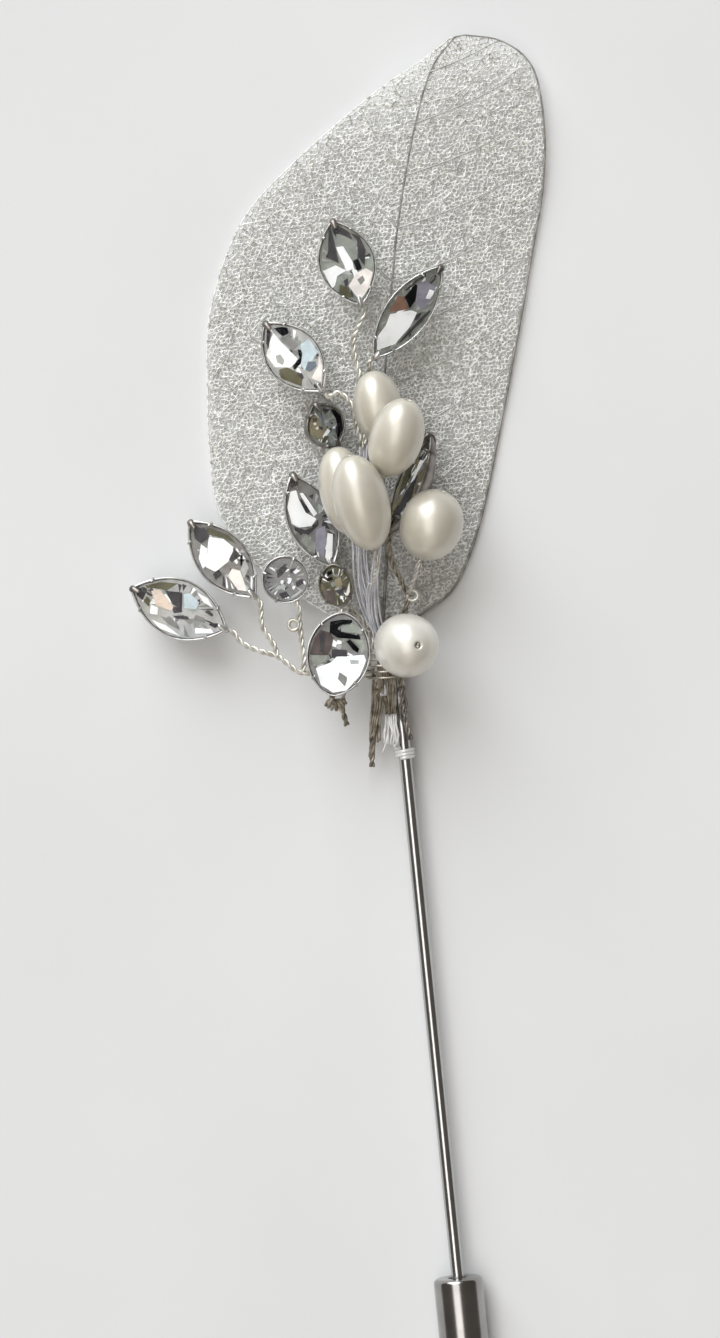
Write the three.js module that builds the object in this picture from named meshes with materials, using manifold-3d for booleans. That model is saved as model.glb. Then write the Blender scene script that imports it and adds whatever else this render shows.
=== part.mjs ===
// A buttonhole pin for a wedding: a silvered skeleton leaf with wired sprays of glass stones
// and pearls, bound to a steel stick pin whose point is covered by a push-on guard.
// Millimetres, +Z up. It lies on its back, and +Y runs along the pin towards the leaf's tip.
import * as THREE from "three";
import { mergeVertices } from "three/addons/utils/BufferGeometryUtils.js";
import Module from "manifold-3d";

const wasm = await Module();
wasm.setup();

// Clearance between neighbouring pieces
const SEAT = 0.3;

// Pin and guard: distances along the pin are measured from the foot of the binding
const PIN_RADIUS = 0.625;
const PIN_TOP = 6.2;
const PIN_POINT = -68.2;
const PIN_TAPER = 3.2;
const PIN_SIDES = 12;
const GUARD_FLAT_RADIUS = 2.4;
const PIN_AXIS_HEIGHT = GUARD_FLAT_RADIUS;
const GUARD_SIDES = 16;
const GUARD_MOUTH = -57.5;
const GUARD_END = -70.2;
const GUARD_WALL = 0.5;
const GUARD_FLOOR = 0.8;
const GUARD_SHOULDER = 0.55;
const GRIP_LENGTH = 4.0;
const GRIP_WALL = 0.65;

// Leaf blade
const BLADE_THICKNESS = 0.6;
const NET_HEIGHT = 0.24;
const SIDE_VEIN_HEIGHT = 0.38;
const MIDRIB_HEIGHT = 0.5;
const ROWS = 30;
const CELLS_PER_SIDE = 10;
const ROWS_PER_SIDE_VEIN = 3;
const VEIN_BOW = 0.9;
const MARGIN_CLEARANCE = 0.15;
const FOOT_ROW = { left: 6, right: 9 };
const STALK_RADIUS = 0.3;
const LEFT_MARGIN = [
  [-2.0, 6.4], [-5.0, 8.0], [-9.5, 11.4], [-13.4, 15.2], [-15.8, 19.8], [-16.2, 25.0], [-15.8, 32.0],
  [-14.7, 39.8], [-10.9, 48.0], [-5.2, 53.4], [3.0, 59.2], [8.6, 62.2], [11.4, 63.9],
];
const MIDRIB = [
  [-1.1, 6.2], [0.1, 13.5], [0.7, 22.4], [1.7, 31.2], [3.3, 40.2], [4.8, 47.4], [7.1, 55.5], [9.4, 61.2],
  [12.0, 64.0],
];
const RIGHT_MARGIN = [
  [-0.1, 6.5], [3.5, 8.1], [6.7, 10.4], [9.7, 16.4], [13.0, 26.8], [15.5, 35.2], [17.4, 42.0],
  [19.2, 48.7], [19.9, 55.0], [19.3, 60.4], [16.6, 63.2], [13.0, 64.1],
];
const LEFT_VEIN_RISE = 0.55;
const RIGHT_VEIN_RISE = 0.7;

// Glass stones: place of the girdle's centre, outer size of the setting, and which way it points.
// The heading is where the outer tip points, the pitch lifts that tip, and the roll leans the stone.
const MARQUISE = 0.9;
const OVAL = 0.62;
const ROUND = 0.5;
const STONES = [
  { at: [-20.64, 10.7, 4.2], length: 10.4, width: 5.9, heading: 151, pitch: 0, roll: 0, cut: MARQUISE },
  { at: [-15.9, 15.1, 4.8], length: 10.0, width: 5.2, heading: 125, pitch: 0, roll: -8, cut: MARQUISE },
  { at: [-6.95, 34.1, 5.0], length: 9.0, width: 5.5, heading: 125, pitch: 0, roll: 0, cut: MARQUISE },
  { at: [-0.85, 42.7, 5.5], length: 9.0, width: 5.7, heading: 103, pitch: 4, roll: 0, cut: MARQUISE },
  { at: [4.56, 37.3, 5.4], length: 11.4, width: 4.5, heading: 47.5, pitch: 4, roll: 15, cut: MARQUISE },
  { at: [-6.8, 18.0, 4.1], length: 10.2, width: 5.0, heading: 107.5, pitch: 0, roll: 14, cut: MARQUISE },
  { at: [-5.5, 4.7, 8.5], length: 8.4, width: 6.2, heading: 76, pitch: -10, roll: 0, cut: OVAL },
  { at: [-9.93, 12.5, 5.6], length: 4.7, width: 4.7, heading: 110, pitch: 0, roll: 0, cut: ROUND },
  { at: [-4.5, 27.1, 4.6], length: 5.1, width: 4.6, heading: 113, pitch: 12, roll: 28, cut: MARQUISE },
  { at: [3.1, 20.7, 4.9], length: 10.6, width: 4.4, heading: 61, pitch: 0, roll: -58, cut: MARQUISE },
  { at: [-5.1, 11.35, 6.1], length: 4.4, width: 3.5, heading: 95, pitch: 0, roll: -15, cut: OVAL },
];
const OUTLINE_POINTS = 12;
const CROWN_SHARE = 0.2;
const PAVILION_SHARE = 0.28;
const SETTING_WALL = 0.25;
const RIM_HEIGHT = 0.15;
const RIM_FOOT = -0.3;
const LEDGE_HEIGHT = -0.15;
const TIP_INSET = 0.8;
const CLAW_ANGLES = [48, 132, 228, 312];
const CLAW_SIZE = { thick: 0.34, wide: 0.6, tall: 1.1 };
const CLAW_LEAN = 32;

// Pearls: centre, half-lengths across and along the drilled axis, and which way that axis points
const PEARLS = [
  { at: [0.7, 28.4, 6.3], across: 2.4, along: 3.5, heading: 92, pitch: 6 },
  { at: [2.15, 24.95, 10.8], across: 2.6, along: 4.0, heading: 66, pitch: 18 },
  { at: [-3.35, 20.5, 6.2], across: 2.45, along: 4.4, heading: 96, pitch: 0 },
  { at: [-1.8, 19.0, 11.6], across: 2.68, along: 4.75, heading: 99, pitch: 10 },
  { at: [4.75, 16.3, 8.3], across: 3.08, along: 3.55, heading: 66, pitch: 15 },
  { at: [1.15, 4.9, 9.3], across: 3.1, along: 3.6, heading: -8, pitch: 72 },
];
const PEARL_SIDES = 16;
const PEARL_RINGS = 8;
const BORE_RADIUS = 0.55;

// Wires: a stem is a pair of wires twisted together, and a pearl hangs on a thinner one
const STEM_RADIUS = 0.3;
const PEARL_WIRE_RADIUS = 0.25;
const STEM_SIDES = 6;
const STEM_STEP = 1.7;
const EYELET_RADIUS = 0.5;
const EYELET_SIDES = 10;
const WRAP_RADIUS = 0.15;
const WRAP_TURNS = 2;
const WRAP_STEPS_PER_TURN = 8;
const WRAP_PITCH = 0.36;
const WRAP_TOP = -5.1;
const WRAP_FIRST_ANGLE = 120;
const BINDING_RADIUS = 0.2;
const BINDING_SIDES = 5;
const BINDING_TURNS = 4;
const BINDING_STEPS_PER_TURN = 12;
const BINDING_START = 1.8;
const BINDING_END = 4.8;
const BINDING_CENTRE = { x: -0.95, z: 2.85 };
const BINDING_HALF_SIZE = { x: 2.25, z: 2.3 };
const BINDING_SQUARENESS = 2.5;

const SILVERED = { color: 0xc9c8c0, roughness: 0.6, metalness: 0.35 };
const GLASS = { color: 0xdfe3e6, roughness: 0.05, metalness: 0.3 };
const PEARL = { color: 0xece6da, roughness: 0.25, metalness: 0.0 };
const SILVER_WIRE = { color: 0xc4c0b8, roughness: 0.3, metalness: 0.9 };
const POLISHED_STEEL = { color: 0xb9bab8, roughness: 0.15, metalness: 1.0 };
const NYLON = { color: 0xe8e6df, roughness: 0.5, metalness: 0.0 };

function mesh(name, geometry, look) {
  const made = new THREE.Mesh(geometry, new THREE.MeshStandardMaterial(look));
  made.name = name;
  return made;
}

function point([x, y, z]) {
  return new THREE.Vector3(x, y, z);
}

// A closed geometry from shared points and triangles, turned so that its faces point out
function closedGeometry(points, triangles) {
  let volume = 0;
  for (const [a, b, c] of triangles) {
    volume += points[a].dot(new THREE.Vector3().crossVectors(points[b], points[c]));
  }
  const facing = volume > 0 ? triangles : triangles.map(([a, b, c]) => [a, c, b]);
  const geometry = new THREE.BufferGeometry();
  geometry.setAttribute("position", new THREE.Float32BufferAttribute(points.flatMap((p) => p.toArray()), 3));
  geometry.setIndex(facing.flat());
  geometry.computeVertexNormals();
  return geometry;
}

function toSolid(geometry) {
  const bare = geometry.clone();
  bare.deleteAttribute("normal");
  bare.deleteAttribute("uv");
  const merged = mergeVertices(bare, 1e-4);
  const solid = new wasm.Mesh({
    numProp: 3,
    vertProperties: Float32Array.from(merged.attributes.position.array),
    triVerts: Uint32Array.from(merged.index.array),
  });
  return new wasm.Manifold(solid);
}

function toGeometry(solid) {
  const { vertProperties, triVerts } = solid.getMesh();
  const geometry = new THREE.BufferGeometry();
  geometry.setAttribute("position", new THREE.BufferAttribute(vertProperties, 3));
  geometry.setIndex(new THREE.BufferAttribute(triVerts, 1));
  geometry.computeVertexNormals();
  return geometry;
}

function fuse(geometries) {
  return toGeometry(geometries.map(toSolid).reduce((whole, piece) => whole.add(piece)));
}

// Rings of equal count joined in order, with the first and the last closed flat
function stackRings(rings) {
  const count = rings[0].length;
  const triangles = [];
  for (let ring = 0; ring + 1 < rings.length; ring += 1) {
    for (let i = 0; i < count; i += 1) {
      const next = (i + 1) % count;
      const low = ring * count;
      const high = low + count;
      triangles.push([low + i, low + next, high + i], [low + next, high + next, high + i]);
    }
  }
  const last = (rings.length - 1) * count;
  for (let i = 1; i + 1 < count; i += 1) {
    triangles.push([0, i + 1, i], [last, last + i, last + i + 1]);
  }
  return closedGeometry(rings.flat(), triangles);
}

function tube(points, radius, sides = STEM_SIDES, step = STEM_STEP) {
  const path = new THREE.CatmullRomCurve3(points);
  return tubeAlong(path, radius, sides, Math.max(3, Math.round(path.getLength() / step)));
}

function tubeAlong(path, radius, sides, steps) {
  const section = new THREE.Shape();
  for (let i = 0; i < sides; i += 1) {
    const angle = (2 * Math.PI * i) / sides;
    const place = [radius * Math.cos(angle), radius * Math.sin(angle)];
    if (i === 0) section.moveTo(...place);
    else section.lineTo(...place);
  }
  return new THREE.ExtrudeGeometry(section, { steps, extrudePath: path, bevelEnabled: false });
}

// The frame of a stone or a pearl: its own X axis runs along its heading
function frameOf(item) {
  const frame = new THREE.Group();
  const [roll, pitch, heading] = [item.roll ?? 0, -item.pitch, item.heading].map(THREE.MathUtils.degToRad);
  frame.rotation.set(roll, pitch, heading, "ZYX");
  frame.position.set(...item.at);
  frame.updateMatrixWorld();
  return frame;
}

function pointOn(item, place) {
  return frameOf(item).localToWorld(point(place));
}

function buildPin() {
  const profile = [
    [0, PIN_POINT],
    [0.2 * PIN_RADIUS, PIN_POINT + 0.15],
    [PIN_RADIUS, PIN_POINT + PIN_TAPER],
    [PIN_RADIUS, PIN_TOP - 0.3],
    [0.5 * PIN_RADIUS, PIN_TOP],
    [0, PIN_TOP],
  ];
  const geometry = new THREE.LatheGeometry(profile.map(([r, y]) => new THREE.Vector2(r, y)), PIN_SIDES);
  const pin = mesh("pin", geometry, POLISHED_STEEL);
  pin.position.z = PIN_AXIS_HEIGHT;
  return pin;
}

// The guard is a drawn cup with a rounded shoulder, narrowed at its mouth to hold the grip
function buildGuardCap() {
  const outer = GUARD_FLAT_RADIUS / Math.cos(Math.PI / GUARD_SIDES);
  const inner = outer - GUARD_WALL;
  const mouth = PIN_RADIUS + 1.4 * SEAT;
  const shoulder = GUARD_SHOULDER;
  const floor = GUARD_END + GUARD_FLOOR;
  const profile = [
    [0, GUARD_END], [outer - 1.3 * shoulder, GUARD_END],
    [outer - 0.3 * shoulder, GUARD_END + 0.35 * shoulder],
    [outer, GUARD_END + shoulder], [outer, GUARD_MOUTH - shoulder],
    [outer - 0.3 * shoulder, GUARD_MOUTH - 0.35 * shoulder], [outer - 1.3 * shoulder, GUARD_MOUTH],
    [mouth, GUARD_MOUTH], [mouth, GUARD_MOUTH - shoulder], [inner, GUARD_MOUTH - shoulder],
    [inner, floor], [0, floor],
  ];
  const geometry = new THREE.LatheGeometry(profile.map(([r, y]) => new THREE.Vector2(r, y)), GUARD_SIDES);
  geometry.rotateY(Math.PI / GUARD_SIDES);
  const cap = mesh("guard_cap", geometry, POLISHED_STEEL);
  cap.position.z = PIN_AXIS_HEIGHT;
  return cap;
}

function buildGuardGrip() {
  const inner = PIN_RADIUS + SEAT;
  const outer = inner + GRIP_WALL;
  const top = GUARD_MOUTH - GUARD_SHOULDER - SEAT;
  const bottom = top - GRIP_LENGTH;
  const profile = [[inner, bottom], [outer, bottom], [outer, top], [inner, top], [inner, bottom]];
  const geometry = new THREE.LatheGeometry(profile.map(([r, y]) => new THREE.Vector2(r, y)), PIN_SIDES);
  const grip = mesh("guard_grip", geometry, NYLON);
  grip.position.z = PIN_AXIS_HEIGHT;
  return grip;
}

function curve(outline) {
  return new THREE.SplineCurve(outline.map(([x, y]) => new THREE.Vector2(x, y)));
}

const bladeCurves = {
  left: { margin: curve(LEFT_MARGIN), rise: LEFT_VEIN_RISE },
  right: { margin: curve(RIGHT_MARGIN), rise: RIGHT_VEIN_RISE },
  midrib: curve(MIDRIB),
};

// A place on the blade: along goes from base to tip, across from the midrib to the margin
function bladePlace(side, along, across) {
  const { margin, rise } = bladeCurves[side];
  const place = bladeCurves.midrib.getPointAt(along).lerp(margin.getPointAt(along ** rise), across);
  place.y -= VEIN_BOW * Math.sin(Math.PI * across) * Math.sin(Math.PI * along);
  return place;
}

// Height of the blade's middle surface: a crowned rib, margins that droop almost to the table, a lifted tip
function bladeHeight(side, along, across) {
  const rib = 0.75 + 1.1 * along + 0.9 * along ** 4;
  const margin = BLADE_THICKNESS / 2 + MARGIN_CLEARANCE;
  const droop = (rib - margin) * Math.sin(Math.PI * along ** 0.9) ** 0.7;
  const wave = 0.16 * Math.sin(14 * along + (side === "left" ? 0.6 : 2.4));
  const curl = side === "right" ? 0.8 * across ** 6 * Math.exp(-(((along - 0.72) / 0.16) ** 2)) : 0;
  return rib - droop * across ** 2 + wave * across ** 2 + curl;
}

function ridgeHeight(row, cell) {
  if (cell === 0) return MIDRIB_HEIGHT * (1 - (0.5 * row) / ROWS);
  return row % ROWS_PER_SIDE_VEIN === 0 ? SIDE_VEIN_HEIGHT : NET_HEIGHT;
}

// Each half of the blade stands on the outer corner of one cell of its margin
function onFoot(side, along, across) {
  const nearRow = Math.abs(along * ROWS - FOOT_ROW[side] - 0.5) < 0.6;
  return nearRow && (1 - across) * CELLS_PER_SIDE < 0.6;
}

// One point of the net, on the upper and the lower face
function bladePair(side, along, across, ridge) {
  const { x, y } = bladePlace(side, along, across);
  const free = Math.max(MARGIN_CLEARANCE, bladeHeight(side, along, across) - BLADE_THICKNESS / 2);
  const low = onFoot(side, along, across) ? 0 : free;
  const high = low + BLADE_THICKNESS + ridge;
  return { upper: new THREE.Vector3(x, y, high), lower: new THREE.Vector3(x, y, low) };
}

// The blade is a net of raised knots and veins round sunken cells, split alike on both faces
function bladeGeometry() {
  const columns = 2 * CELLS_PER_SIDE;
  const sideOf = (column) => (column < CELLS_PER_SIDE ? "left" : "right");
  const pairs = [];
  const knots = [];
  for (let row = 0; row <= ROWS; row += 1) {
    knots.push([]);
    for (let column = 0; column <= columns; column += 1) {
      const cell = Math.abs(column - CELLS_PER_SIDE);
      const shift = row > 0 && row < ROWS && column % 2 ? 0.28 : 0;
      const along = (row + shift * Math.sin(Math.PI * (cell / CELLS_PER_SIDE))) / ROWS;
      knots[row].push(pairs.length);
      pairs.push(bladePair(sideOf(column), along, cell / CELLS_PER_SIDE, ridgeHeight(row, cell)));
    }
  }
  const triangles = [];
  for (let row = 0; row < ROWS; row += 1) {
    for (let column = 0; column < columns; column += 1) {
      const cell = Math.abs(column + 0.5 - CELLS_PER_SIDE);
      const centre = pairs.length;
      pairs.push(bladePair(sideOf(column), (row + 0.5) / ROWS, cell / CELLS_PER_SIDE, 0));
      const [near, far] = [knots[row], knots[row + 1]];
      const corners = [near[column], near[column + 1], far[column + 1], far[column]];
      corners.forEach((corner, i) => triangles.push([corner, corners[(i + 1) % 4], centre]));
    }
  }
  const lowers = pairs.length;
  const under = triangles.map(([a, b, c]) => [a + lowers, c + lowers, b + lowers]);
  const rim = [
    ...knots[0],
    ...knots.slice(1).map((row) => row[columns]),
    ...knots[ROWS].slice(0, -1).reverse(),
    ...knots.slice(1, -1).map((row) => row[0]).reverse(),
  ];
  const edge = rim.flatMap((a, i) => {
    const b = rim[(i + 1) % rim.length];
    return [[b, a, a + lowers], [b, a + lowers, b + lowers]];
  });
  const points = [...pairs.map((pair) => pair.upper), ...pairs.map((pair) => pair.lower)];
  return closedGeometry(points, [...triangles, ...under, ...edge]);
}

function buildLeaf() {
  const route = [
    [-1.3, 0.4, 1.35], [-1.3, 2.5, 1.35], [-1.3, 4.8, 1.35], [-1.15, 6.8, 1.15], [-0.8, 9.2, 0.95],
  ];
  const stalk = tube(route.map(point), STALK_RADIUS);
  return mesh("leaf", fuse([bladeGeometry(), stalk]), SILVERED);
}

// A pointed, oval or round outline at one height; turn shifts its points by part of a step
function outline(length, width, cut, height, turn = 0) {
  const points = [];
  for (let i = 0; i < OUTLINE_POINTS; i += 1) {
    const angle = (2 * Math.PI * (i + turn)) / OUTLINE_POINTS;
    const bulge = Math.sin(angle) * Math.abs(Math.sin(angle)) ** (2 * cut - 1);
    points.push(new THREE.Vector3((length / 2) * Math.cos(angle), (width / 2) * bulge, height));
  }
  return points;
}

function tipInset(stone) {
  return stone.cut === MARQUISE ? TIP_INSET : SETTING_WALL + SEAT;
}

function stoneGeometry(stone) {
  const length = stone.length - 2 * tipInset(stone);
  const width = stone.width - 2 * (SETTING_WALL + 1.2 * SEAT);
  const crown = CROWN_SHARE * stone.width;
  const pavilion = PAVILION_SHARE * stone.width;
  return stackRings([
    outline(0.12 * length, 0.12 * width, stone.cut, -pavilion),
    outline(length, width, stone.cut, 0),
    outline(0.8 * length, 0.8 * width, stone.cut, 0.6 * crown, 0.5),
    outline(0.5 * length, 0.5 * width, stone.cut, crown),
  ]);
}

function clawGeometry(stone, degrees) {
  const angle = THREE.MathUtils.degToRad(degrees);
  const bulge = Math.sin(angle) * Math.abs(Math.sin(angle)) ** (2 * stone.cut - 1);
  const inward = Math.sin(angle) > 0 ? -1 : 1;
  const claw = new THREE.BoxGeometry(CLAW_SIZE.wide, CLAW_SIZE.thick, CLAW_SIZE.tall);
  claw.rotateX(-inward * THREE.MathUtils.degToRad(CLAW_LEAN));
  claw.translate((stone.length / 2) * Math.cos(angle), (stone.width / 2) * bulge + 0.1 * inward, 0.3);
  return claw;
}

// The cup follows the stone's back at one seat's distance, and its claws lean over the girdle
function settingGeometry(stone) {
  const { length, width, cut } = stone;
  const depth = PAVILION_SHARE * width + 2.4 * SEAT;
  const tipWall = tipInset(stone) - SEAT;
  const inside = [length - 2 * tipWall, width - 2 * SETTING_WALL];
  const cup = stackRings([
    outline(0.5 * length, 0.5 * width, cut, -depth),
    outline(length, width, cut, RIM_FOOT),
    outline(length, width, cut, RIM_HEIGHT),
    outline(...inside, cut, RIM_HEIGHT),
    outline(...inside, cut, LEDGE_HEIGHT),
    outline(0.5 * length - 2 * tipWall, 0.5 * width - 2 * SETTING_WALL, cut, -depth + SEAT),
  ]);
  return fuse([cup, ...CLAW_ANGLES.map((angle) => clawGeometry(stone, angle))]);
}

function buildStone(stone, index) {
  const frame = frameOf(stone);
  frame.add(mesh(`stone_${index + 1}`, stoneGeometry(stone), GLASS));
  frame.add(mesh(`setting_${index + 1}`, settingGeometry(stone), SILVER_WIRE));
  return frame;
}

// A drilled pearl: an egg-smooth bead whose profile closes on itself round the bore
function buildPearl(pearl, index) {
  const profile = [];
  const start = Math.asin(BORE_RADIUS / pearl.across);
  for (let ring = 0; ring <= PEARL_RINGS; ring += 1) {
    const angle = start + ((Math.PI - 2 * start) * ring) / PEARL_RINGS;
    profile.push(new THREE.Vector2(pearl.across * Math.sin(angle), -pearl.along * Math.cos(angle)));
  }
  profile.push(profile[0].clone());
  const geometry = new THREE.LatheGeometry(profile, PEARL_SIDES);
  geometry.rotateZ(-Math.PI / 2);
  const frame = frameOf(pearl);
  frame.add(mesh(`pearl_${index + 1}`, geometry, PEARL));
  return frame;
}

// Where a stem starts: just off the inner tip of a stone's setting
function stoneEnd(number) {
  const stone = STONES[number - 1];
  return pointOn(stone, [-(stone.length / 2 + SEAT + STEM_RADIUS), 0, -0.35]);
}

// Where a pearl's wire runs: from near the far mouth of the bore to just outside the near one
function pearlRun(number) {
  const pearl = PEARLS[number - 1];
  return [0.8, 0, -1, -1.25].map((share) => pointOn(pearl, [share * pearl.along, 0, 0]));
}

function stem(...places) {
  return tube(places.map((place) => (Array.isArray(place) ? point(place) : place)), STEM_RADIUS);
}

function pearlWire(number, ...places) {
  return tube([...pearlRun(number), ...places.map(point)], PEARL_WIRE_RADIUS);
}

// A small eyelet that the wire makes where its strands are twisted together
function eyelet(place) {
  const ring = new THREE.TorusGeometry(EYELET_RADIUS, PEARL_WIRE_RADIUS, STEM_SIDES, EYELET_SIDES);
  ring.translate(...place);
  return ring;
}

// The end of a wire that winds round the pin, with a small clearance
function wrapRoundPin(...lead) {
  const reach = PIN_RADIUS + 0.75 * SEAT + WRAP_RADIUS;
  const points = lead.map(point);
  for (let i = 0; i <= WRAP_TURNS * WRAP_STEPS_PER_TURN; i += 1) {
    const turns = i / WRAP_STEPS_PER_TURN;
    const angle = THREE.MathUtils.degToRad(WRAP_FIRST_ANGLE + 360 * turns);
    const [x, z] = [reach * Math.cos(angle), PIN_AXIS_HEIGHT + reach * Math.sin(angle)];
    points.push(new THREE.Vector3(x, WRAP_TOP - WRAP_PITCH * turns, z));
  }
  return tube(points, WRAP_RADIUS, BINDING_SIDES, 0.4);
}

function buildCrystalWire1() {
  const joint = [-9.2, 3.2, 3.9];
  const parts = [
    stem(stoneEnd(1), [-14.9, 6.85, 3.9], [-13.4, 5.9, 3.9], [-11.5, 5.1, 3.9], joint, [-7.6, 3.6, 3.9],
      [-6.0, 4.9, 3.8], [-4.4, 6.5, 3.7], [-3.2, 7.1, 3.5], [-2.3, 6.2, 3.05], [-2.0, 4.8, 2.9],
      [-2.0, 1.0, 2.9], [-2.4, -0.6, 2.95], [-2.8, -2.0, 3.0], [-3.1, -4.2, 3.0], [-3.35, -6.6, 3.0]),
    stem(stoneEnd(2), [-12.7, 8.3, 4.2], [-11.7, 6.2, 4.0], [-11.5, 5.1, 3.9]),
    stem(stoneEnd(8), [-9.0, 8.7, 4.6], [-9.0, 6.4, 4.2], [-8.95, 4.4, 4.0], joint),
    eyelet([-9.6, 8.0, 4.5]),
  ];
  return mesh("crystal_wire_1", fuse(parts), SILVER_WIRE);
}

function buildCrystalWire2() {
  const parts = [
    stem(stoneEnd(4), [-0.9, 35.5, 4.1], [-1.0, 33.8, 3.7], [-0.7, 31.6, 3.3], [-0.6, 29.0, 2.95],
      [-0.9, 25.0, 2.85], [-1.6, 20.5, 2.85], [-2.4, 15.5, 2.85], [-2.4, 11.7, 2.85], [-1.9, 8.6, 2.6],
      [-1.45, 6.6, 2.3], [-1.3, 4.8, 2.25], [-1.3, 0.5, 2.25], [-1.2, -1.6, 2.45], [-1.6, -3.4, 2.75],
      [-2.2, -5.2, 2.95]),
    stem(stoneEnd(5), [0.2, 31.6, 3.6], [-0.5, 29.6, 3.0]),
    stem(stoneEnd(3), [-2.9, 30.2, 4.4], [-1.75, 28.8, 4.0], [-1.5, 26.6, 3.4], [-1.1, 24.6, 2.9]),
    stem(stoneEnd(9), [-2.6, 22.6, 3.1], [-1.6, 20.5, 2.85]),
  ];
  return mesh("crystal_wire_2", fuse(parts), SILVER_WIRE);
}

function buildCrystalWire3() {
  const joint = [-3.9, 9.1, 3.1];
  const tailStart = [-5.7, -0.7, 4.9];
  const parts = [
    stem(stoneEnd(6), [-4.8, 10.9, 3.4], joint, [-3.1, 8.2, 2.7], [-2.5, 7.2, 2.3], [-2.2, 5.6, 2.0],
      [-2.2, 2.5, 2.0], [-2.2, 0.0, 2.0]),
    stem([-5.4, -2.3, 4.5], tailStart, [-5.4, 1.0, 4.95], [-4.6, 4.6, 4.95], [-4.0, 7.3, 4.6], joint),
    stem(stoneEnd(7), [-6.6, -0.6, 8.0], [-6.2, -0.9, 6.2], tailStart),
    stem(stoneEnd(11), [-4.6, 7.9, 5.2], [-4.0, 7.3, 4.6]),
  ];
  return mesh("crystal_wire_3", fuse(parts), SILVER_WIRE);
}

function buildPearlWire1() {
  const joint = [-1.5, 9.0, 3.75];
  const tailEnd = [-0.95, -4.7, 3.7];
  const parts = [
    pearlWire(2, [-0.3, 18.4, 7.6], [-0.4, 16.6, 6.3]),
    stem([-0.4, 16.6, 6.3], [-0.62, 14.6, 5.1], [-1.3, 11.6, 4.4], joint, [-1.4, 7.3, 3.45],
      [-0.85, 5.4, 3.25], [-0.85, 0.5, 3.25], [-0.9, -1.7, 3.6], [-0.95, -3.4, 3.75], tailEnd),
    pearlWire(1, [0.3, 22.2, 5.4], [-0.5, 19.5, 5.0], [-1.5, 17.0, 4.7], [-2.0, 14.8, 4.6], [-2.1, 11.7, 4.2],
      joint),
    wrapRoundPin(tailEnd, [-0.9, -4.9, 3.5]),
  ];
  return mesh("pearl_wire_1", fuse(parts), SILVER_WIRE);
}

function buildPearlWire2() {
  const joint = [-1.65, 6.4, 4.15];
  const parts = [
    pearlWire(4, [-1.2, 11.9, 8.6], [-1.5, 11.2, 6.8]),
    stem([-1.5, 11.2, 6.8], [-1.75, 10.2, 5.4], [-1.9, 8.2, 4.55], joint, [-1.45, 4.8, 4.0],
      [-1.45, 2.5, 4.0], [-1.45, 0.2, 4.0]),
    pearlWire(3, [-2.9, 13.4, 5.7], [-3.0, 11.7, 5.1], [-2.75, 9.4, 4.7], [-2.2, 7.5, 4.25], joint),
  ];
  return mesh("pearl_wire_2", fuse(parts), SILVER_WIRE);
}

function buildMixedWire() {
  const joint = [1.85, 9.9, 4.0];
  const parts = [
    pearlWire(5, [2.5, 11.2, 5.7], joint),
    stem(joint, [1.5, 8.5, 3.85], [0.8, 6.9, 3.75], [0.3, 5.2, 3.7], [0.3, 0.9, 3.7], [0.33, -0.4, 3.8],
      [0.3, -1.8, 3.85], [0.5, -3.2, 3.85], [0.66, -4.3, 3.75]),
    stem(stoneEnd(10), [0.6, 13.2, 4.3], [1.3, 11.3, 4.0], joint),
    pearlWire(6, [0.2, 6.4, 4.7], [1.0, 8.0, 4.1]),
    eyelet([2.3, 9.7, 4.0]),
  ];
  return mesh("mixed_wire", fuse(parts), SILVER_WIRE);
}

// The binding winds round the whole bundle on a rounded square
class BindingCurve extends THREE.Curve {
  getPoint(share, target = new THREE.Vector3()) {
    const angle = 2 * Math.PI * BINDING_TURNS * share;
    const power = 2 / BINDING_SQUARENESS;
    const reach = (value) => Math.sign(value) * Math.abs(value) ** power;
    return target.set(
      BINDING_CENTRE.x + BINDING_HALF_SIZE.x * reach(Math.cos(angle)),
      BINDING_START + (BINDING_END - BINDING_START) * share,
      BINDING_CENTRE.z + BINDING_HALF_SIZE.z * reach(Math.sin(angle)),
    );
  }
}

function buildBinding() {
  const steps = BINDING_TURNS * BINDING_STEPS_PER_TURN;
  const coil = tubeAlong(new BindingCurve(), BINDING_RADIUS, BINDING_SIDES, steps);
  return mesh("binding_wire", coil, SILVER_WIRE);
}

const model = new THREE.Group();
model.add(
  buildPin(),
  buildGuardCap(),
  buildGuardGrip(),
  buildLeaf(),
  ...STONES.map(buildStone),
  ...PEARLS.map(buildPearl),
  buildCrystalWire1(),
  buildCrystalWire2(),
  buildCrystalWire3(),
  buildPearlWire1(),
  buildPearlWire2(),
  buildMixedWire(),
  buildBinding(),
);

// The origin is the middle of the box's lower face
const box = new THREE.Box3().setFromObject(model, true);
const middle = box.getCenter(new THREE.Vector3());
model.position.set(-middle.x, -middle.y, -box.min.z);

export default model;
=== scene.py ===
import math
import random
from collections import namedtuple

import bpy
import numpy as np
from mathutils import Euler, Matrix, Vector
from mathutils.bvhtree import BVHTree
from mathutils.geometry import delaunay_2d_cdt


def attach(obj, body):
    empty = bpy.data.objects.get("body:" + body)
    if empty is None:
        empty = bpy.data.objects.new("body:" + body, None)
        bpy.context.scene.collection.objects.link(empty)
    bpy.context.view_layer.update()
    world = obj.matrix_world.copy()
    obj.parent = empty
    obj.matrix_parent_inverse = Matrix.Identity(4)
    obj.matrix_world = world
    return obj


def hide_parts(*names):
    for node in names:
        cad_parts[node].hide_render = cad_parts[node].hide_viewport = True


MM = 0.001
SHIFT = np.array([2.6444, 3.05, 0.0])
UP = np.array([0.0, 0.0, 1.0])
SEED = 11

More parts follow.
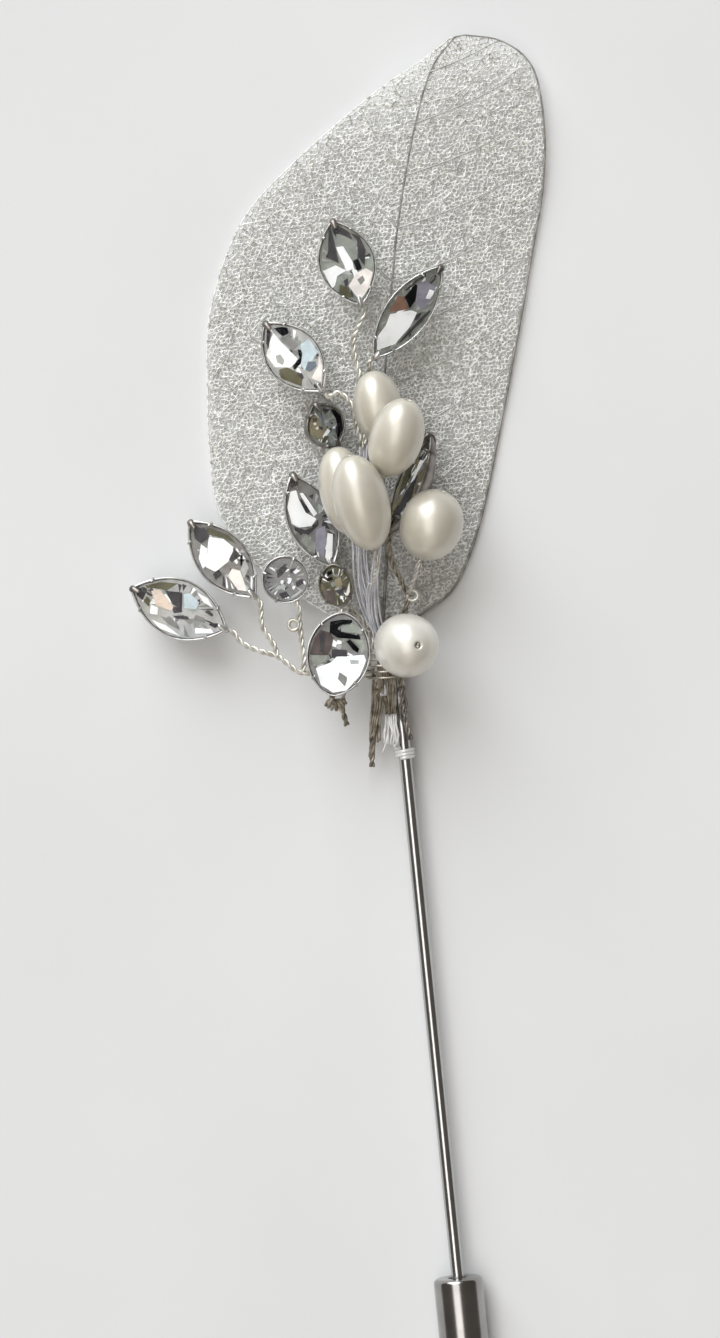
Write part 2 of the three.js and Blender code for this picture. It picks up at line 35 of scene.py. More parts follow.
# Camera: it looks straight down on the middle of the picture
CAMERA_OVER = (-0.92, 6.10)
CAMERA_HEIGHT = 450.0
CAMERA_TURN = -5.76
VIEW_HEIGHT = 132.48
SENSOR_HEIGHT = 36.0

# From here to LIGHTS, sizes and places are in metres
CAMERA_CLIP = 0.01
FLOOR_REACH = 4.0
PEARL_GRAIN_DEPTH = 0.0001
METAL_GRAIN_DEPTH = 0.00004
WORLD_COLOUR = (1.0, 0.9, 0.8, 1.0)
WORLD_STRENGTH = 0.12
# Name, place, size, watts, colour, and the degrees of tilt towards +Y and of turn after it
LIGHTS = [
    ("ceiling", (-0.6, 0.0, 2.4), (1.4, 2.6), 25.0, (1.0, 0.98, 0.95), 0, 0),
    ("window", (-0.7, 1.9, 1.38), (1.9, 2.4), 70.0, (0.92, 0.965, 1.0), 55, 20),
    ("fill", (-0.3, -1.9, 1.4), (1.6, 2.4), 7.0, (1.0, 0.92, 0.82), -55, -9),
]
# Dark and light tone, roughness, share of metal, and then the grain's scale and bump
METALS = {
    "stem_silver": ((0.55, 0.52, 0.45), (0.92, 0.9, 0.84), 0.3, 0.5),
    "strand_silver": ((0.55, 0.55, 0.59), (0.88, 0.88, 0.92), 0.3, 0.35),
    "white_silver": ((0.8, 0.79, 0.77), (0.97, 0.96, 0.95), 0.3, 0.2),
    "setting_silver": ((0.42, 0.41, 0.4), (0.8, 0.79, 0.77), 0.2, 0.7),
    # Silver darkened to paint shade on some settings, the outer tip claws and a wire's tail
    "shade_darkened_silver": ((0.13, 0.12, 0.11), (0.36, 0.33, 0.3), 0.3, 0.7),
    # Darker, browner silver that paints the shade on the binding under the bundle
    "shaded_binding_silver": ((0.38, 0.35, 0.29), (0.74, 0.71, 0.64), 0.3),
    "taupe_wire": ((0.16, 0.135, 0.1), (0.46, 0.41, 0.33), 0.4, 0.4, 1400.0),
    "pin_steel": ((0.48, 0.48, 0.48), (0.56, 0.56, 0.56), 0.2, 1.0, 300.0, 0.01),
    "guard_metal": ((0.34, 0.33, 0.32), (0.42, 0.41, 0.4), 0.2, 1.0, 300.0, 0.01),
}

# The gap in the solids between pieces that touch on the real thing
SEAT = 0.3

PIN_RADIUS = 0.625
PIN_AXIS_HEIGHT = 2.4
PIN_TOP = 6.2
PIN_POINT = -68.2
PIN_TAPER = 3.2
PIN_TIP_RADIUS = 0.12
GUARD_RADIUS = 2.42
GUARD_MOUTH = -57.5
GUARD_END = -70.2
GUARD_WALL = 0.5
GUARD_FLOOR = 0.8
GUARD_SHOULDER = 0.55
GUARD_END_ROUNDING = 0.7
GUARD_LIP = 0.5
GUARD_LIP_ROUNDING = 0.12
MOUTH_CLEARANCE = 0.35
GRIP_DEPTH = 0.75
GRIP_LENGTH = 4.0
GRIP_WALL = 0.65
GRIP_ROUNDING = 0.08

BLADE_THICKNESS = 0.6
VEIN_BOW = 0.9
MARGIN_CLEARANCE = 0.15
LEFT_MARGIN = [
    (-2.0, 6.4), (-5.0, 8.0), (-9.5, 11.4), (-13.4, 15.2), (-15.8, 19.8), (-16.2, 25.0),
    (-15.8, 32.0), (-14.7, 39.8), (-10.9, 48.0), (-5.2, 53.4), (3.0, 59.2), (8.6, 62.2),
    (11.4, 63.9),
]
MIDRIB = [
    (-1.1, 6.2), (0.1, 13.5), (0.7, 22.4), (1.7, 31.2), (3.3, 40.2), (4.8, 47.4), (7.1, 55.5),
    (9.4, 61.2), (12.0, 64.0),
]
RIGHT_MARGIN = [
    (-0.1, 6.5), (3.5, 8.1), (6.7, 10.4), (9.7, 16.4), (13.0, 26.8), (15.5, 35.2), (17.4, 42.0),
    (19.2, 48.7), (19.9, 55.0), (19.3, 60.4), (16.6, 63.2), (13.0, 64.1),
]
VEIN_RISE = {"left": 0.55, "right": 0.7}
WAVE_HEIGHT = 0.16
WAVE_RATE = 14
WAVE_START = {"left": 0.6, "right": 2.4}
CURL_HEIGHT = 0.8
CURL_PLACE = 0.72
CURL_LENGTH = 0.16
STALK = [
    (-1.3, 0.4, 1.35), (-1.3, 2.5, 1.35), (-1.3, 4.8, 1.35), (-1.15, 6.8, 1.15), (-0.8, 9.2, 0.95),
]
STALK_RADII = (0.3, 0.28)

# The net's threads, and the veins above them
FINE_CELL = 0.4
FINE_WIDTHS = (0.12, 0.2)
FINE_HEIGHT = 0.12
FINE_LIFT = 0.3
FINE_GAPS = 0.06
COARSE_CELL = 2.6
COARSE_WIDTH = 0.17
COARSE_HEIGHT = 0.16
COARSE_LIFT = 0.28
NET_JITTER = 0.36
LONGEST_THREAD = 2.5  # in cells
SHORTEST_THREAD = 0.02
NET_LOW = np.array([-17.5, 5.0])
NET_HIGH = np.array([21.0, 65.0])
VEIN_LIFT = 0.35
SIDE_VEIN_PLACES = np.linspace(0.06, 0.93, 11)
SIDE_VEIN_LIFT = 0.4
SIDE_VEIN_RADII = (0.08, 0.035)
MARGIN_RADII = {"left": (0.08, 0.06), "right": (0.14, 0.07)}

MARQUISE = 0.9
OVAL = 0.62
ROUND = 0.5
Stone = namedtuple("Stone", "at size heading pitch roll cut", defaults=(0, 0, MARQUISE))
STONES = [
    Stone((-20.64, 10.7, 4.2), (10.4, 5.9), 151),
    Stone((-15.9, 15.1, 4.8), (10.0, 5.2), 125, roll=-8),
    Stone((-6.95, 34.1, 5.0), (9.0, 5.5), 125),
    Stone((-0.85, 42.7, 5.5), (9.0, 5.7), 103, pitch=4),
    Stone((4.56, 37.3, 5.4), (11.4, 4.5), 47.5, pitch=4, roll=15),
    Stone((-6.8, 18.0, 4.1), (10.2, 5.0), 107.5, roll=14),
    Stone((-5.5, 4.7, 8.5), (8.4, 6.2), 76, pitch=-10, cut=OVAL),
    Stone((-9.93, 12.5, 5.6), (4.7, 4.7), 110, cut=ROUND),
    Stone((-4.5, 27.1, 4.6), (5.1, 4.6), 113, pitch=12, roll=28),
    Stone((3.1, 20.7, 4.9), (10.6, 4.4), 61, roll=-58),
    Stone((-5.1, 11.35, 6.1), (4.4, 3.5), 95, roll=-15, cut=OVAL),
]
# The back of each stone, listed: its own tone, then one facet a line with its tone and its corners.
# These tones are painted reflections and glints of the lamps and the room, seen through the glass.
# A corner is in hundredths of half the stone's length towards its outer tip and of half its width
# to the left of that. Later facets lie above earlier ones.
FACETS = """
light
dark 74,22 86,16 97,0 84,-22 74,-20
peach 12,16 45,22 66,-20 52,-36 30,-18 12,2
dark -6,0 16,-6 40,-40 7,-58
blue -32,-22 -9,-10 3,-55 -8,-66 -32,-50
olive 38,-42 52,-38 74,-22 82,-27 55,-62 22,-80
olive 57,34 72,24 70,4 60,10
dark -28,20 -2,36 6,30 -22,12
white -25,86 20,90 42,72 10,72
grey -20,68 5,66 30,48 -5,46
white 35,50 50,55 56,25 40,25
dark -82,12 -68,10 -70,-2 -86,0
dark -68,-20 -50,-26 -55,-36 -68,-30
white -84,30 -50,56 -45,40 -75,20
white -62,-50 -40,-55 -20,-78 -45,-74
grey -60,10 -35,16 -36,-5 -55,-6

grey
white -10,55 10,72 54,-17 32,-56 4,-66 -12,-10
white 12,86 34,70 54,26 38,20 12,66
dark 54,24 70,30 94,5 66,-32 52,-15
olive 57,-24 74,-34 30,-82 4,-84 34,-57
dark -24,76 -10,70 -12,38 -24,42
dark -18,-20 -10,-20 1,-66 -20,-66
black -40,-40 -34,-40 -18,-66 -22,-72
cream -84,10 -70,34 -34,28 -28,-5 -43,-24 -65,-8
white -90,-10 -82,-14 -66,-42 -70,-46
light -60,-16 -42,-28 -30,-70 -50,-58

light
white -14,35 10,78 45,76 74,2 -10,-6
light 2,52 16,62 30,50 26,32 8,34
black 54,-20 82,-12 72,-40 62,-54 50,-42
dark 53,52 68,44 94,2 78,6
black -24,32 -15,26 -10,-14 8,-30 2,-38 -22,-20
blue -42,2 -25,0 -7,-34 12,-50 10,-90 -28,-82
slate -52,-10 -40,-2 -30,-30 -42,-52 -52,-42
olive -64,50 -20,88 0,74 -8,46 -26,32 -55,34
cream -88,-16 -65,2 -54,-46 -34,-78 -60,-60
dark -92,12 -82,16 -80,4 -90,0
grey 12,-10 52,-8 48,-40 14,-44

green
dark 5,28 28,66 42,50 84,26 90,14 50,20
dark 74,12 94,10 90,-14 66,-44 45,-46 70,-8
dark -20,-58 4,-46 42,-60 64,-46 50,-74 15,-80
black -26,-26 0,-24 2,-44 -24,-46
green 5,-5 45,10 70,6 63,-20 43,-52 5,-44
white -18,10 43,20 40,-6 0,-20 -18,-18
white -45,80 0,92 3,42 -16,12 -22,50 -40,66
olive -78,42 -60,62 -43,50 -53,26 -80,20
cream -94,-2 -53,22 -30,-20 -26,-60 -40,-78 -70,-50
grey -60,-22 -45,-16 -40,-40 -52,-42

green
white -88,8 -70,45 -43,45 -22,62 7,-8 10,-38 -18,-52 -60,-42
black 8,2 20,55 50,50 50,32 25,2
red -20,72 13,84 19,55 7,6 -3,26
lavender 20,-8 53,42 66,20 68,-36 45,-60 20,-50
white 40,-30 58,-20 60,-44 44,-50
dark -55,-52 0,-66 28,-78 26,-86 -2,-80 -50,-62
dark 30,72 56,60 76,36 72,30 54,50 30,62

grey
white 10,84 45,74 72,35 70,10 52,16 20,10 0,-22 -10,10 -3,62
dark 20,8 50,14 50,4 22,-6
white 6,-16 24,-8 62,2 60,-12 10,-34
dark 78,26 90,18 97,0 90,-8 78,-6
dark -24,40 -6,84 2,80 -12,45 -14,10 -2,-28 -14,-20
lavender -78,18 -55,36 -20,-4 -20,-45 -55,-20
white -93,4 -80,8 -36,-42 -42,-60 -84,-20
green -66,50 -30,80 -20,45 -45,30

grey
white -95,0 -80,43 -42,66 -22,20 -7,5 7,-84 -5,-93 -45,-80 -85,-43
grey -77,-37 -60,-10 -43,-12 -53,-40
light -20,-45 -10,-40 -8,-70 -18,-72
green -38,74 -12,90 -7,36 -22,40
dark -7,22 10,24 13,-25 -3,-30
mauve -6,34 -10,94 30,86 52,70 50,36 36,24 12,26
dark 0,62 40,70 52,58 44,50 0,50
white 23,12 34,10 33,-4 26,-5
black 50,40 76,42 84,10 88,-28 80,-30 72,5 60,18
black 50,40 62,20 54,-5 52,-60 43,-65 40,10
black 33,-20 40,-30 20,-66 10,-62 16,-45
green 56,2 70,5 78,-35 70,-60 55,-68
green 42,-34 42,-74 20,-84 12,-74 24,-66

grey
dark 20,30 50,20 62,-20 40,-30 26,0
dark -72,50 -45,55 -50,20 -75,15
white -26,-5 -16,0 0,-18 -10,-26 -22,-16
light -40,30 -16,34 -10,16 -32,14
white 2,-50 16,-44 20,-66 6,-76
light -90,10 -80,12 -72,-45 -80,-40
dark -55,-30 -30,-35 -30,-70 -50,-65

green
gold -50,20 -30,70 10,90 50,68 74,30 30,8 -20,2
dark -10,25 5,40 16,30 2,16
mauve 45,50 60,40 50,20 38,30
cream 6,50 16,56 20,40 8,36
cream 30,52 40,50 38,36 28,40
dark -70,-25 -30,-40 -20,-75 -50,-55
dark 45,-25 74,-30 50,-60
black -85,-15 -40,-50 0,-66 50,-62 40,-80 0,-94 -50,-74
slate 5,20 35,8 60,-5 50,-15 5,2
white -46,45 -32,40 -15,0 -30,-10
olive -60,50 -50,60 -34,30 -50,10

gold
dark 70,30 95,0 70,-30
dark -90,15 -20,0 20,-40 -30,-50 -85,-10
white 0,-10 50,-10 50,-30 10,-30
olive -30,50 30,80 40,30 -10,15

olive
mauve -75,70 -10,90 -20,15 -75,20
black 30,50 45,50 48,15 32,10
black 55,45 75,35 78,5 60,10
dark -45,-10 -20,10 -20,-40 -42,-42
gold -10,0 30,0 40,-35 0,-45
cream -75,-40 -50,-50 10,-90 -40,-80
""".strip().split("\n\n")
# Tones of the stones' backs, each a painted reflection or glint
TONES = {
    "white": (0.95, 0.955, 0.96), "cream": (0.9, 0.84, 0.8), "light": (0.55, 0.55, 0.54),
    "grey": (0.3, 0.29, 0.28), "dark": (0.085, 0.08, 0.085), "black": (0.012, 0.012, 0.014),
    "blue": (0.64, 0.74, 0.79), "slate": (0.2, 0.23, 0.28), "lavender": (0.38, 0.37, 0.44),
    "peach": (0.84, 0.7, 0.6), "red": (0.32, 0.19, 0.14), "mauve": (0.13, 0.105, 0.1),
    "olive": (0.15, 0.14, 0.09), "gold": (0.34, 0.3, 0.2), "green": (0.36, 0.38, 0.34),
}
GLASS_CLEARANCE = 0.1
GIRDLE = 0.06
CROWN_SHARE = 0.09
TABLE_SHARE = 0.76
SIDES = 16
FOIL_TOP = -0.17
FOIL_DROP = 0.03
FOIL_THICKNESS = 0.05
FOIL_RINGS = (0.25, 0.5, 0.75, 0.98)
# Shards and streaks of random tones on each stone's back are painted glints and reflections
SHARDS = 34
SHARD_SIZES = (0.05, 0.22)
SHARD_TONES = ("white", "light", "grey", "grey", "dark", "green")
STREAKS = 26
STREAK_WIDTHS = (0.025, 0.06)
STREAK_OUTER_ENDS = (0.8, 0.93)
STREAK_INNER_ENDS = (0.45, 0.65)
STREAK_TONES = ("white", "dark", "light", "grey")
# White, cream and blue backs glow a little: painted light that brightens the lamp's reflection in
# the stones
PAINTED_GLOW_TONES = {"white": 0.22, "cream": 0.12, "blue": 0.08}
LAYER_STEP = 0.0015
FACET_THICKNESS = 0.02
SETTING_WALL = 0.13
SETTING_TIP_WALL = 0.3
SETTING_SIDES = 48
PAVILION_SHARE = 0.28
PAVILION_DROP = 0.6
RIM_HEIGHT = 0.12
CLAW_ANGLES = (48, 132, 228, 312)
# Steps in from the stone's edge, and heights. The radii follow at shares of the way.
CLAW_PATH = [(0.45, -0.95), (0.12, -0.4), (0.02, 0.12), (0.16, 0.42), (0.42, 0.55)]
CLAW_RADII = [0, 0.2, 0.75, 1], [0.1, 0.16, 0.15, 0.09]
TIP_CLAW_PATH = [(0.9, -1.0), (0.25, -0.45), (0.12, 0.15), (0.4, 0.42), (1.0, 0.62)]
TIP_CLAW_RADII = [0, 0.3, 0.7, 1], [0.14, 0.3, 0.36, 0.16]
# These stones' settings take the darkened silver, as painted shade
DARK_SETTINGS = (9, 10, 11)

Pearl = namedtuple("Pearl", "at across along heading pitch roll", defaults=(0,))
PEARLS = [
    Pearl((0.7, 28.4, 6.3), 2.4, 3.5, 92, 6),
    Pearl((2.15, 24.95, 10.8), 2.6, 4.0, 66, 18),
    Pearl((-3.35, 20.5, 6.2), 2.45, 4.4, 96, 0),
    Pearl((-1.8, 19.0, 11.6), 2.68, 4.75, 99, 10),
    Pearl((4.75, 16.3, 8.3), 3.08, 3.55, 66, 15),
    Pearl((1.15, 4.9, 9.3), 3.1, 3.6, -8, 72),
]
BORE_RADIUS = 0.33
BORE_SHARE = 0.88
PEARL_SIDES = 56
PEARL_RINGS = 40
PEARL_LUMPS = 4
LUMP_HEIGHT = 0.006

STEM_RADIUS = 0.3
STEM_TUCK = 0.1
STEM_DROP = 0.35
PEARL_WIRE_RADIUS = 0.25
TWIST_LENGTH = 1.7
TWIST_STEP = 0.14
WIRE_SIDES = 8
EYELET_RADIUS = 0.5
EYELET_WIRE = 0.2
STRAND_RADIUS = 0.11
STRAND_STEP = 0.5
STRAND_SWAY = 0.08
STRAND_LIFT = 0.1
BUNDLE = 0.34
COIL_WIRE = 0.16
COIL_STEP = 0.02
WRAP_REACH = 0.84
WRAP_RADIUS = 0.17
WRAP_TURNS = 3
WRAP_PITCH = 0.33
WRAP_TOP = -5.1
WRAP_FIRST_ANGLE = 120
BINDING_RADIUS = 0.12
BINDING_TURNS = 5
BINDING_START = 1.8
BINDING_END = 4.8
BINDING_CENTRE = (-0.95, 2.85)
BINDING_HALF_SIZE = (2.27, 2.32)
BINDING_SQUARENESS = 2.5


# Curves

def cubic(start, end, leave, arrive, t):
    """The smooth curve between two points that leaves and arrives at the given speeds."""
    return (start + leave * t + (3 * (end - start) - 2 * leave - arrive) * t ** 2
            + (2 * (start - end) + leave + arrive) * t ** 3)


def catmull_rom(points, per_span=12):
    """A smooth curve through points, with its speed set by the root of each span's length."""
    points = np.asarray(points, float)
    padded = np.vstack([2 * points[0] - points[1], points, 2 * points[-1] - points[-2]])
    steps = np.maximum(np.linalg.norm(np.diff(padded, axis=0), axis=1) ** 0.5, 1e-6)
    found = [points[0]]
    for i in range(len(points) - 1):
        p0, p1, p2, p3 = padded[i:i + 4]
        d0, d1, d2 = steps[i:i + 3]
        leave = ((p1 - p0) / d0 - (p2 - p0) / (d0 + d1) + (p2 - p1) / d1) * d1
        arrive = ((p2 - p1) / d1 - (p3 - p1) / (d1 + d2) + (p3 - p2) / d2) * d1
        found += [cubic(p1, p2, leave, arrive, t) for t in np.linspace(0, 1, per_span + 1)[1:]]
    return np.array(found)


def spline_2d(points, per_span=40):
    """The plain Catmull-Rom curve that the blade's outline follows."""
    points = np.asarray(points, float)
    padded = np.vstack([points[0], points, points[-1]])
    t = np.linspace(0, 1, per_span, endpoint=False)[:, None]
    spans = []
    for i in range(len(points) - 1):
        p0, p1, p2, p3 = padded[i:i + 4]
        spans.append(cubic(p1, p2, (p2 - p0) / 2, (p3 - p1) / 2, t))
    return np.vstack(spans + [points[-1:]])


def by_length(curve):
    """A function from shares of a curve's length to places on it."""
    lengths = np.concatenate([[0], np.cumsum(np.linalg.norm(np.diff(curve, axis=0), axis=1))])
    shares = lengths / lengths[-1]
    return lambda share: np.stack([np.interp(share, shares, line) for line in curve.T], -1)


def resample(curve, step):
    length = np.linalg.norm(np.diff(curve, axis=0), axis=1).sum()
    return by_length(curve)(np.linspace(0, 1, max(3, round(length / step)) + 1))


def frames_along(curve):
    """Unit directions along a curve, and two more at right angles that turn as little as can be."""
    ahead = np.gradient(curve, axis=0)
    ahead /= np.linalg.norm(ahead, axis=1)[:, None]
    start = UP if abs(ahead[0][2]) < 0.9 else np.array([1.0, 0.0, 0.0])
    side = np.cross(ahead[0], start)
    sides = []
    for direction in ahead:
        side = side - direction * side.dot(direction)
        side = side / np.linalg.norm(side)
        sides.append(side)
    sides = np.array(sides)
    return ahead, sides, np.cross(ahead, sides)


def circle(count):
    return np.linspace(0, 2 * math.pi, count, endpoint=False)


def rim(angle, cut):
    """The point at an angle on a cut's outline, for a half length and a half width of 1."""
    return np.cos(angle), np.sin(angle) * np.abs(np.sin(angle)) ** (2 * cut - 1)


def round_about(angle, side, other):
    """Steps of length 1 at angles between two directions."""
    return np.cos(angle)[:, None] * side + np.sin(angle)[:, None] * other


# Meshes

def material(name, **sockets):
    """A new material, with values for the sockets of its shader."""
    made = bpy.data.materials.new(name)
    made.use_nodes = True
    shader = made.node_tree.nodes["Principled BSDF"]
    for socket, value in sockets.items():
        shader.inputs[socket.replace("_", " ")].default_value = value
    return made


def add_piece(name, points, faces, look, slot, stands_for=(), body="posy", smooth=True):
    """A mesh from model millimetres. It rides on a body and may stand for solids of the frame."""
    mesh = bpy.data.meshes.new(name)
    placed = (np.asarray(points, float) + SHIFT) * MM
    mesh.from_pydata(placed.tolist(), [], faces if isinstance(faces, list) else faces.tolist())
    mesh.validate()
    mesh.polygons.foreach_set("use_smooth", [smooth] * len(mesh.polygons))
    mesh.materials.append(look)
    piece = bpy.data.objects.new(name, mesh)
    bpy.context.scene.collection.objects.link(piece)
    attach(piece, body)
    if stands_for:
        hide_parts(*stands_for)


def join_parts(parts):
    """One list of points and one of faces from several."""
    points, faces, count = [], [], 0
    for part_points, part_faces in parts:
        points.append(np.asarray(part_points, float))
        faces.extend([[corner + count for corner in face] for face in part_faces])
        count += len(part_points)
    return np.vstack(points), faces


def skin_rings(rings, closed=False):
    """Rings of equal count, joined in order. A closed skin's last ring meets its first one."""
    count = len(rings[0])
    faces = []
    for ring in range(len(rings) if closed else len(rings) - 1):
        low, high = ring * count, (ring + 1) % len(rings) * count
        for i in range(count):
            j = (i + 1) % count
            faces.append([low + i, low + j, high + j, high + i])
    if not closed:
        faces.append(list(range(count))[::-1])
        faces.append([(len(rings) - 1) * count + i for i in range(count)])
    return np.vstack(rings), faces


def tube(curve, radius, sides=WIRE_SIDES, flatten=1.0):
    """A tube with flat ends, whose radius may change along it."""
    curve = np.asarray(curve, float)
    radii = np.broadcast_to(radius, len(curve))
    _, side, other = frames_along(curve)
    rings = [
        place + r * round_about(circle(sides), a, flatten * b)
        for place, r, a, b in zip(curve, radii, side, other)
    ]
    return skin_rings(rings)


def twisted_pair(curve, radius):
    """Two wires wound round each other along a curve, which together fill the given radius."""
    path = resample(curve, TWIST_STEP)
    _, side, other = frames_along(path)
    strand = radius / 2
    along = np.concatenate([[0], np.cumsum(np.linalg.norm(np.diff(path, axis=0), axis=1))])
    parts = []
    for half in (0, math.pi):
        turn = half + 2 * math.pi * along / TWIST_LENGTH
        parts.append(tube(path + strand * round_about(turn, side, other), strand))
    return join_parts(parts)


def lathe(profile, sides, closed=False):
    """A profile of (radius, distance) pairs, turned round the pin's axis."""
    x, z = np.cos(circle(sides)), np.sin(circle(sides))
    rings = [np.stack([r * x, np.full(sides, y), PIN_AXIS_HEIGHT + r * z], -1) for r, y in profile]
    return skin_rings(rings, closed)


# Materials

def noise_on(look, scale, detail=3.0):
    """A noise in the object's own coordinates, which are metres."""
    tree = look.node_tree
    coordinates = tree.nodes.new("ShaderNodeTexCoord")
    noise = tree.nodes.new("ShaderNodeTexNoise")
    noise.inputs["Scale"].default_value = scale
    noise.inputs["Detail"].default_value = detail
    tree.links.new(coordinates.outputs["Object"], noise.inputs["Vector"])
    return noise.outputs["Fac"]


def colour_by(look, source, *stops):
    """The base colour, blended between stops of a place and a colour."""
    tree = look.node_tree
    ramp = tree.nodes.new("ShaderNodeValToRGB")
    elements = ramp.color_ramp.elements
    while len(elements) < len(stops):
        elements.new(0.5)
    for element, (place, colour) in zip(elements, stops):
        element.position = place
        element.color = (*colour, 1.0)
    tree.links.new(source, ramp.inputs["Fac"])
    tree.links.new(ramp.outputs["Color"], tree.nodes["Principled BSDF"].inputs["Base Color"])


def bump_by(look, source, strength, distance):
    tree = look.node_tree
    bump = tree.nodes.new("ShaderNodeBump")
    bump.inputs["Strength"].default_value = strength
    bump.inputs["Distance"].default_value = distance
    tree.links.new(source, bump.inputs["Height"])
    tree.links.new(bump.outputs["Normal"], tree.nodes["Principled BSDF"].inputs["Normal"])


def leaf_look():
    look = material("silvered_leaf", Metallic=0.15, Roughness=0.45)
    colour_by(look, noise_on(look, 2600.0, 2.0), (0.34, (0.47, 0.46, 0.42)),
              (0.48, (0.86, 0.85, 0.81)), (0.6, (0.99, 0.99, 0.97)))
    return look


def vein_look(name, dark, light):
    look = material(name, Metallic=0.2, Roughness=0.5)
    colour_by(look, noise_on(look, 900.0), (0.3, dark), (0.7, light))
    return look


def glass_look():
    look = material("cut_glass", Roughness=0.0, IOR=1.1, Transmission_Weight=1.0)
    colour_by(look, noise_on(look, 250.0, 1.0), (0.3, (0.97, 0.985, 1.0)), (0.7, (1.0, 0.99, 0.97)))
    return look


def reflection_foil_look(tone, colour):
    """One painted reflection tone on a stone's mirrored back, with a fine uneven grain."""
    # The glow of some tones is painted light, not a lamp
    look = material(f"foil_{tone}", Metallic=0.25, Roughness=0.35, Specular_IOR_Level=0.0,
                    Emission_Color=(*colour, 1.0), Emission_Strength=PAINTED_GLOW_TONES.get(tone, 0.0))
    dark, light = (tuple(share * channel for channel in colour) for share in (0.8, 1.05))
    colour_by(look, noise_on(look, 1100.0), (0.35, dark), (0.62, light))
    return look


def metal_look(name, dark, light, roughness, metallic=1.0, grain_scale=700.0, bump=0.12):
    look = material(name, Metallic=metallic, Roughness=roughness)
    grain = noise_on(look, grain_scale, 4.0)
    colour_by(look, grain, (0.35, dark), (0.65, light))
    bump_by(look, grain, bump, METAL_GRAIN_DEPTH)
    return look


def pearl_look(name, dark, light):
    look = material(name, Roughness=0.4, IOR=1.6, Metallic=0.15, Coat_Weight=1.0,
                    Coat_Roughness=0.3, Coat_IOR=1.8, Sheen_Weight=0.25, Sheen_Roughness=0.3)
    cloud = noise_on(look, 260.0)
    colour_by(look, cloud, (0.3, dark), (0.7, light))
    bump_by(look, cloud, 0.1, PEARL_GRAIN_DEPTH)
    return look


def nylon_look():
    look = material("grip_nylon", Roughness=0.5)
    grain = noise_on(look, 1500.0, 2.0)
    colour_by(look, grain, (0.3, (0.78, 0.77, 0.72)), (0.7, (0.88, 0.87, 0.83)))
    return look


# The leaf

BLADE = {
    "left": by_length(spline_2d(LEFT_MARGIN)),
    "right": by_length(spline_2d(RIGHT_MARGIN)),
    "rib": by_length(spline_2d(MIDRIB)),
}


def blade_points(side, along, across):
    """Places on the lower face of the blade: along goes from base to tip, across to the margin."""
    along, across = np.broadcast_arrays(np.asarray(along, float), np.asarray(across, float))
    rib, margin = BLADE["rib"](along), BLADE[side](along ** VEIN_RISE[side])
    place = rib + (margin - rib) * across[..., None]
    place[..., 1] -= VEIN_BOW * np.sin(np.pi * across) * np.sin(np.pi * along)
    # The midrib rises steadily, and faster at the tip. The margins droop from it in the middle.
    crown = 0.75 + 1.1 * along + 0.9 * along ** 4
    margin_height = BLADE_THICKNESS / 2 + MARGIN_CLEARANCE
    droop = (crown - margin_height) * np.clip(np.sin(np.pi * along ** 0.9), 0, 1) ** 0.7
    wave = WAVE_HEIGHT * np.sin(WAVE_RATE * along + WAVE_START[side])
    height = crown - droop * across ** 2 + wave * across ** 2
    if side == "right":
        bulge = np.exp(-(((along - CURL_PLACE) / CURL_LENGTH) ** 2))
        height = height + CURL_HEIGHT * across ** 6 * bulge
    low = np.maximum(MARGIN_CLEARANCE, height - BLADE_THICKNESS / 2)
    return np.concatenate([place, low[..., None]], -1)


def blade_tree():
    """A search tree on the blade's surface, in model millimetres."""
    rows, columns = 140, 26
    grid = np.meshgrid(np.linspace(0, 1, rows), np.linspace(0, 1, columns), indexing="ij")
    points, faces = [], []
    for side in ("left", "right"):
        start = len(points)
        points.extend(blade_points(side, *grid).reshape(-1, 3).tolist())
        for row in range(rows - 1):
            for column in range(columns - 1):
                corner = start + row * columns + column
                faces.append([corner, corner + 1, corner + columns + 1, corner + columns])
    return BVHTree.FromPolygons(points, faces)


def on_blade(tree, x, y):
    hit = tree.ray_cast(Vector((x, y, 30.0)), Vector((0.0, 0.0, -1.0)))[0]
    return None if hit is None else (hit.x, hit.y, hit.z)


def net_segments(tree, cell, rng, gaps=0.0):
    """Pairs of places along the walls of an irregular honeycomb, a share of them left out."""
    columns, rows = np.ceil((NET_HIGH - NET_LOW) / cell).astype(int)
    seeds = []
    for row in range(rows):
        for column in range(columns):
            seeds.append(NET_LOW + cell * np.array([
                column + 0.5 * (row % 2) + rng.uniform(-NET_JITTER, NET_JITTER),
                row + rng.uniform(-NET_JITTER, NET_JITTER),
            ]))
    keep = [seed for seed in seeds if near_blade(seed)]
    vertices, _, triangles, *_ = delaunay_2d_cdt([Vector(seed) for seed in keep], [], [], 0, 1e-6)
    corners = np.array([[vertices[i].to_tuple() for i in triangle] for triangle in triangles])
    middles = circle_middles(corners)
    heights = [on_blade(tree, x, y) for x, y in middles]
    edges = {}
    for number, triangle in enumerate(triangles):
        for i in range(3):
            a, b = triangle[i], triangle[(i + 1) % 3]
            edges.setdefault((min(a, b), max(a, b)), []).append(number)
    found = []
    for pair in edges.values():
        if len(pair) != 2 or rng.random() < gaps:
            continue
        p, q = heights[pair[0]], heights[pair[1]]
        if p and q and SHORTEST_THREAD <= math.dist(p, q) <= LONGEST_THREAD * cell:
            found.append((p, q))
    return np.array(found)


def near_blade(seed):
    """A quick test that throws away seeds far outside the leaf."""
    x, y = seed
    left = np.interp(y, [5, 11, 20, 32, 40, 48, 54, 60, 65],
                     [-5, -11, -18, -18, -17, -13, -7, 2, 8])
    right = np.interp(y, [5, 9, 16, 27, 42, 55, 61, 65], [5, 7, 12, 15, 19, 22, 21, 18])
    return left < x < right


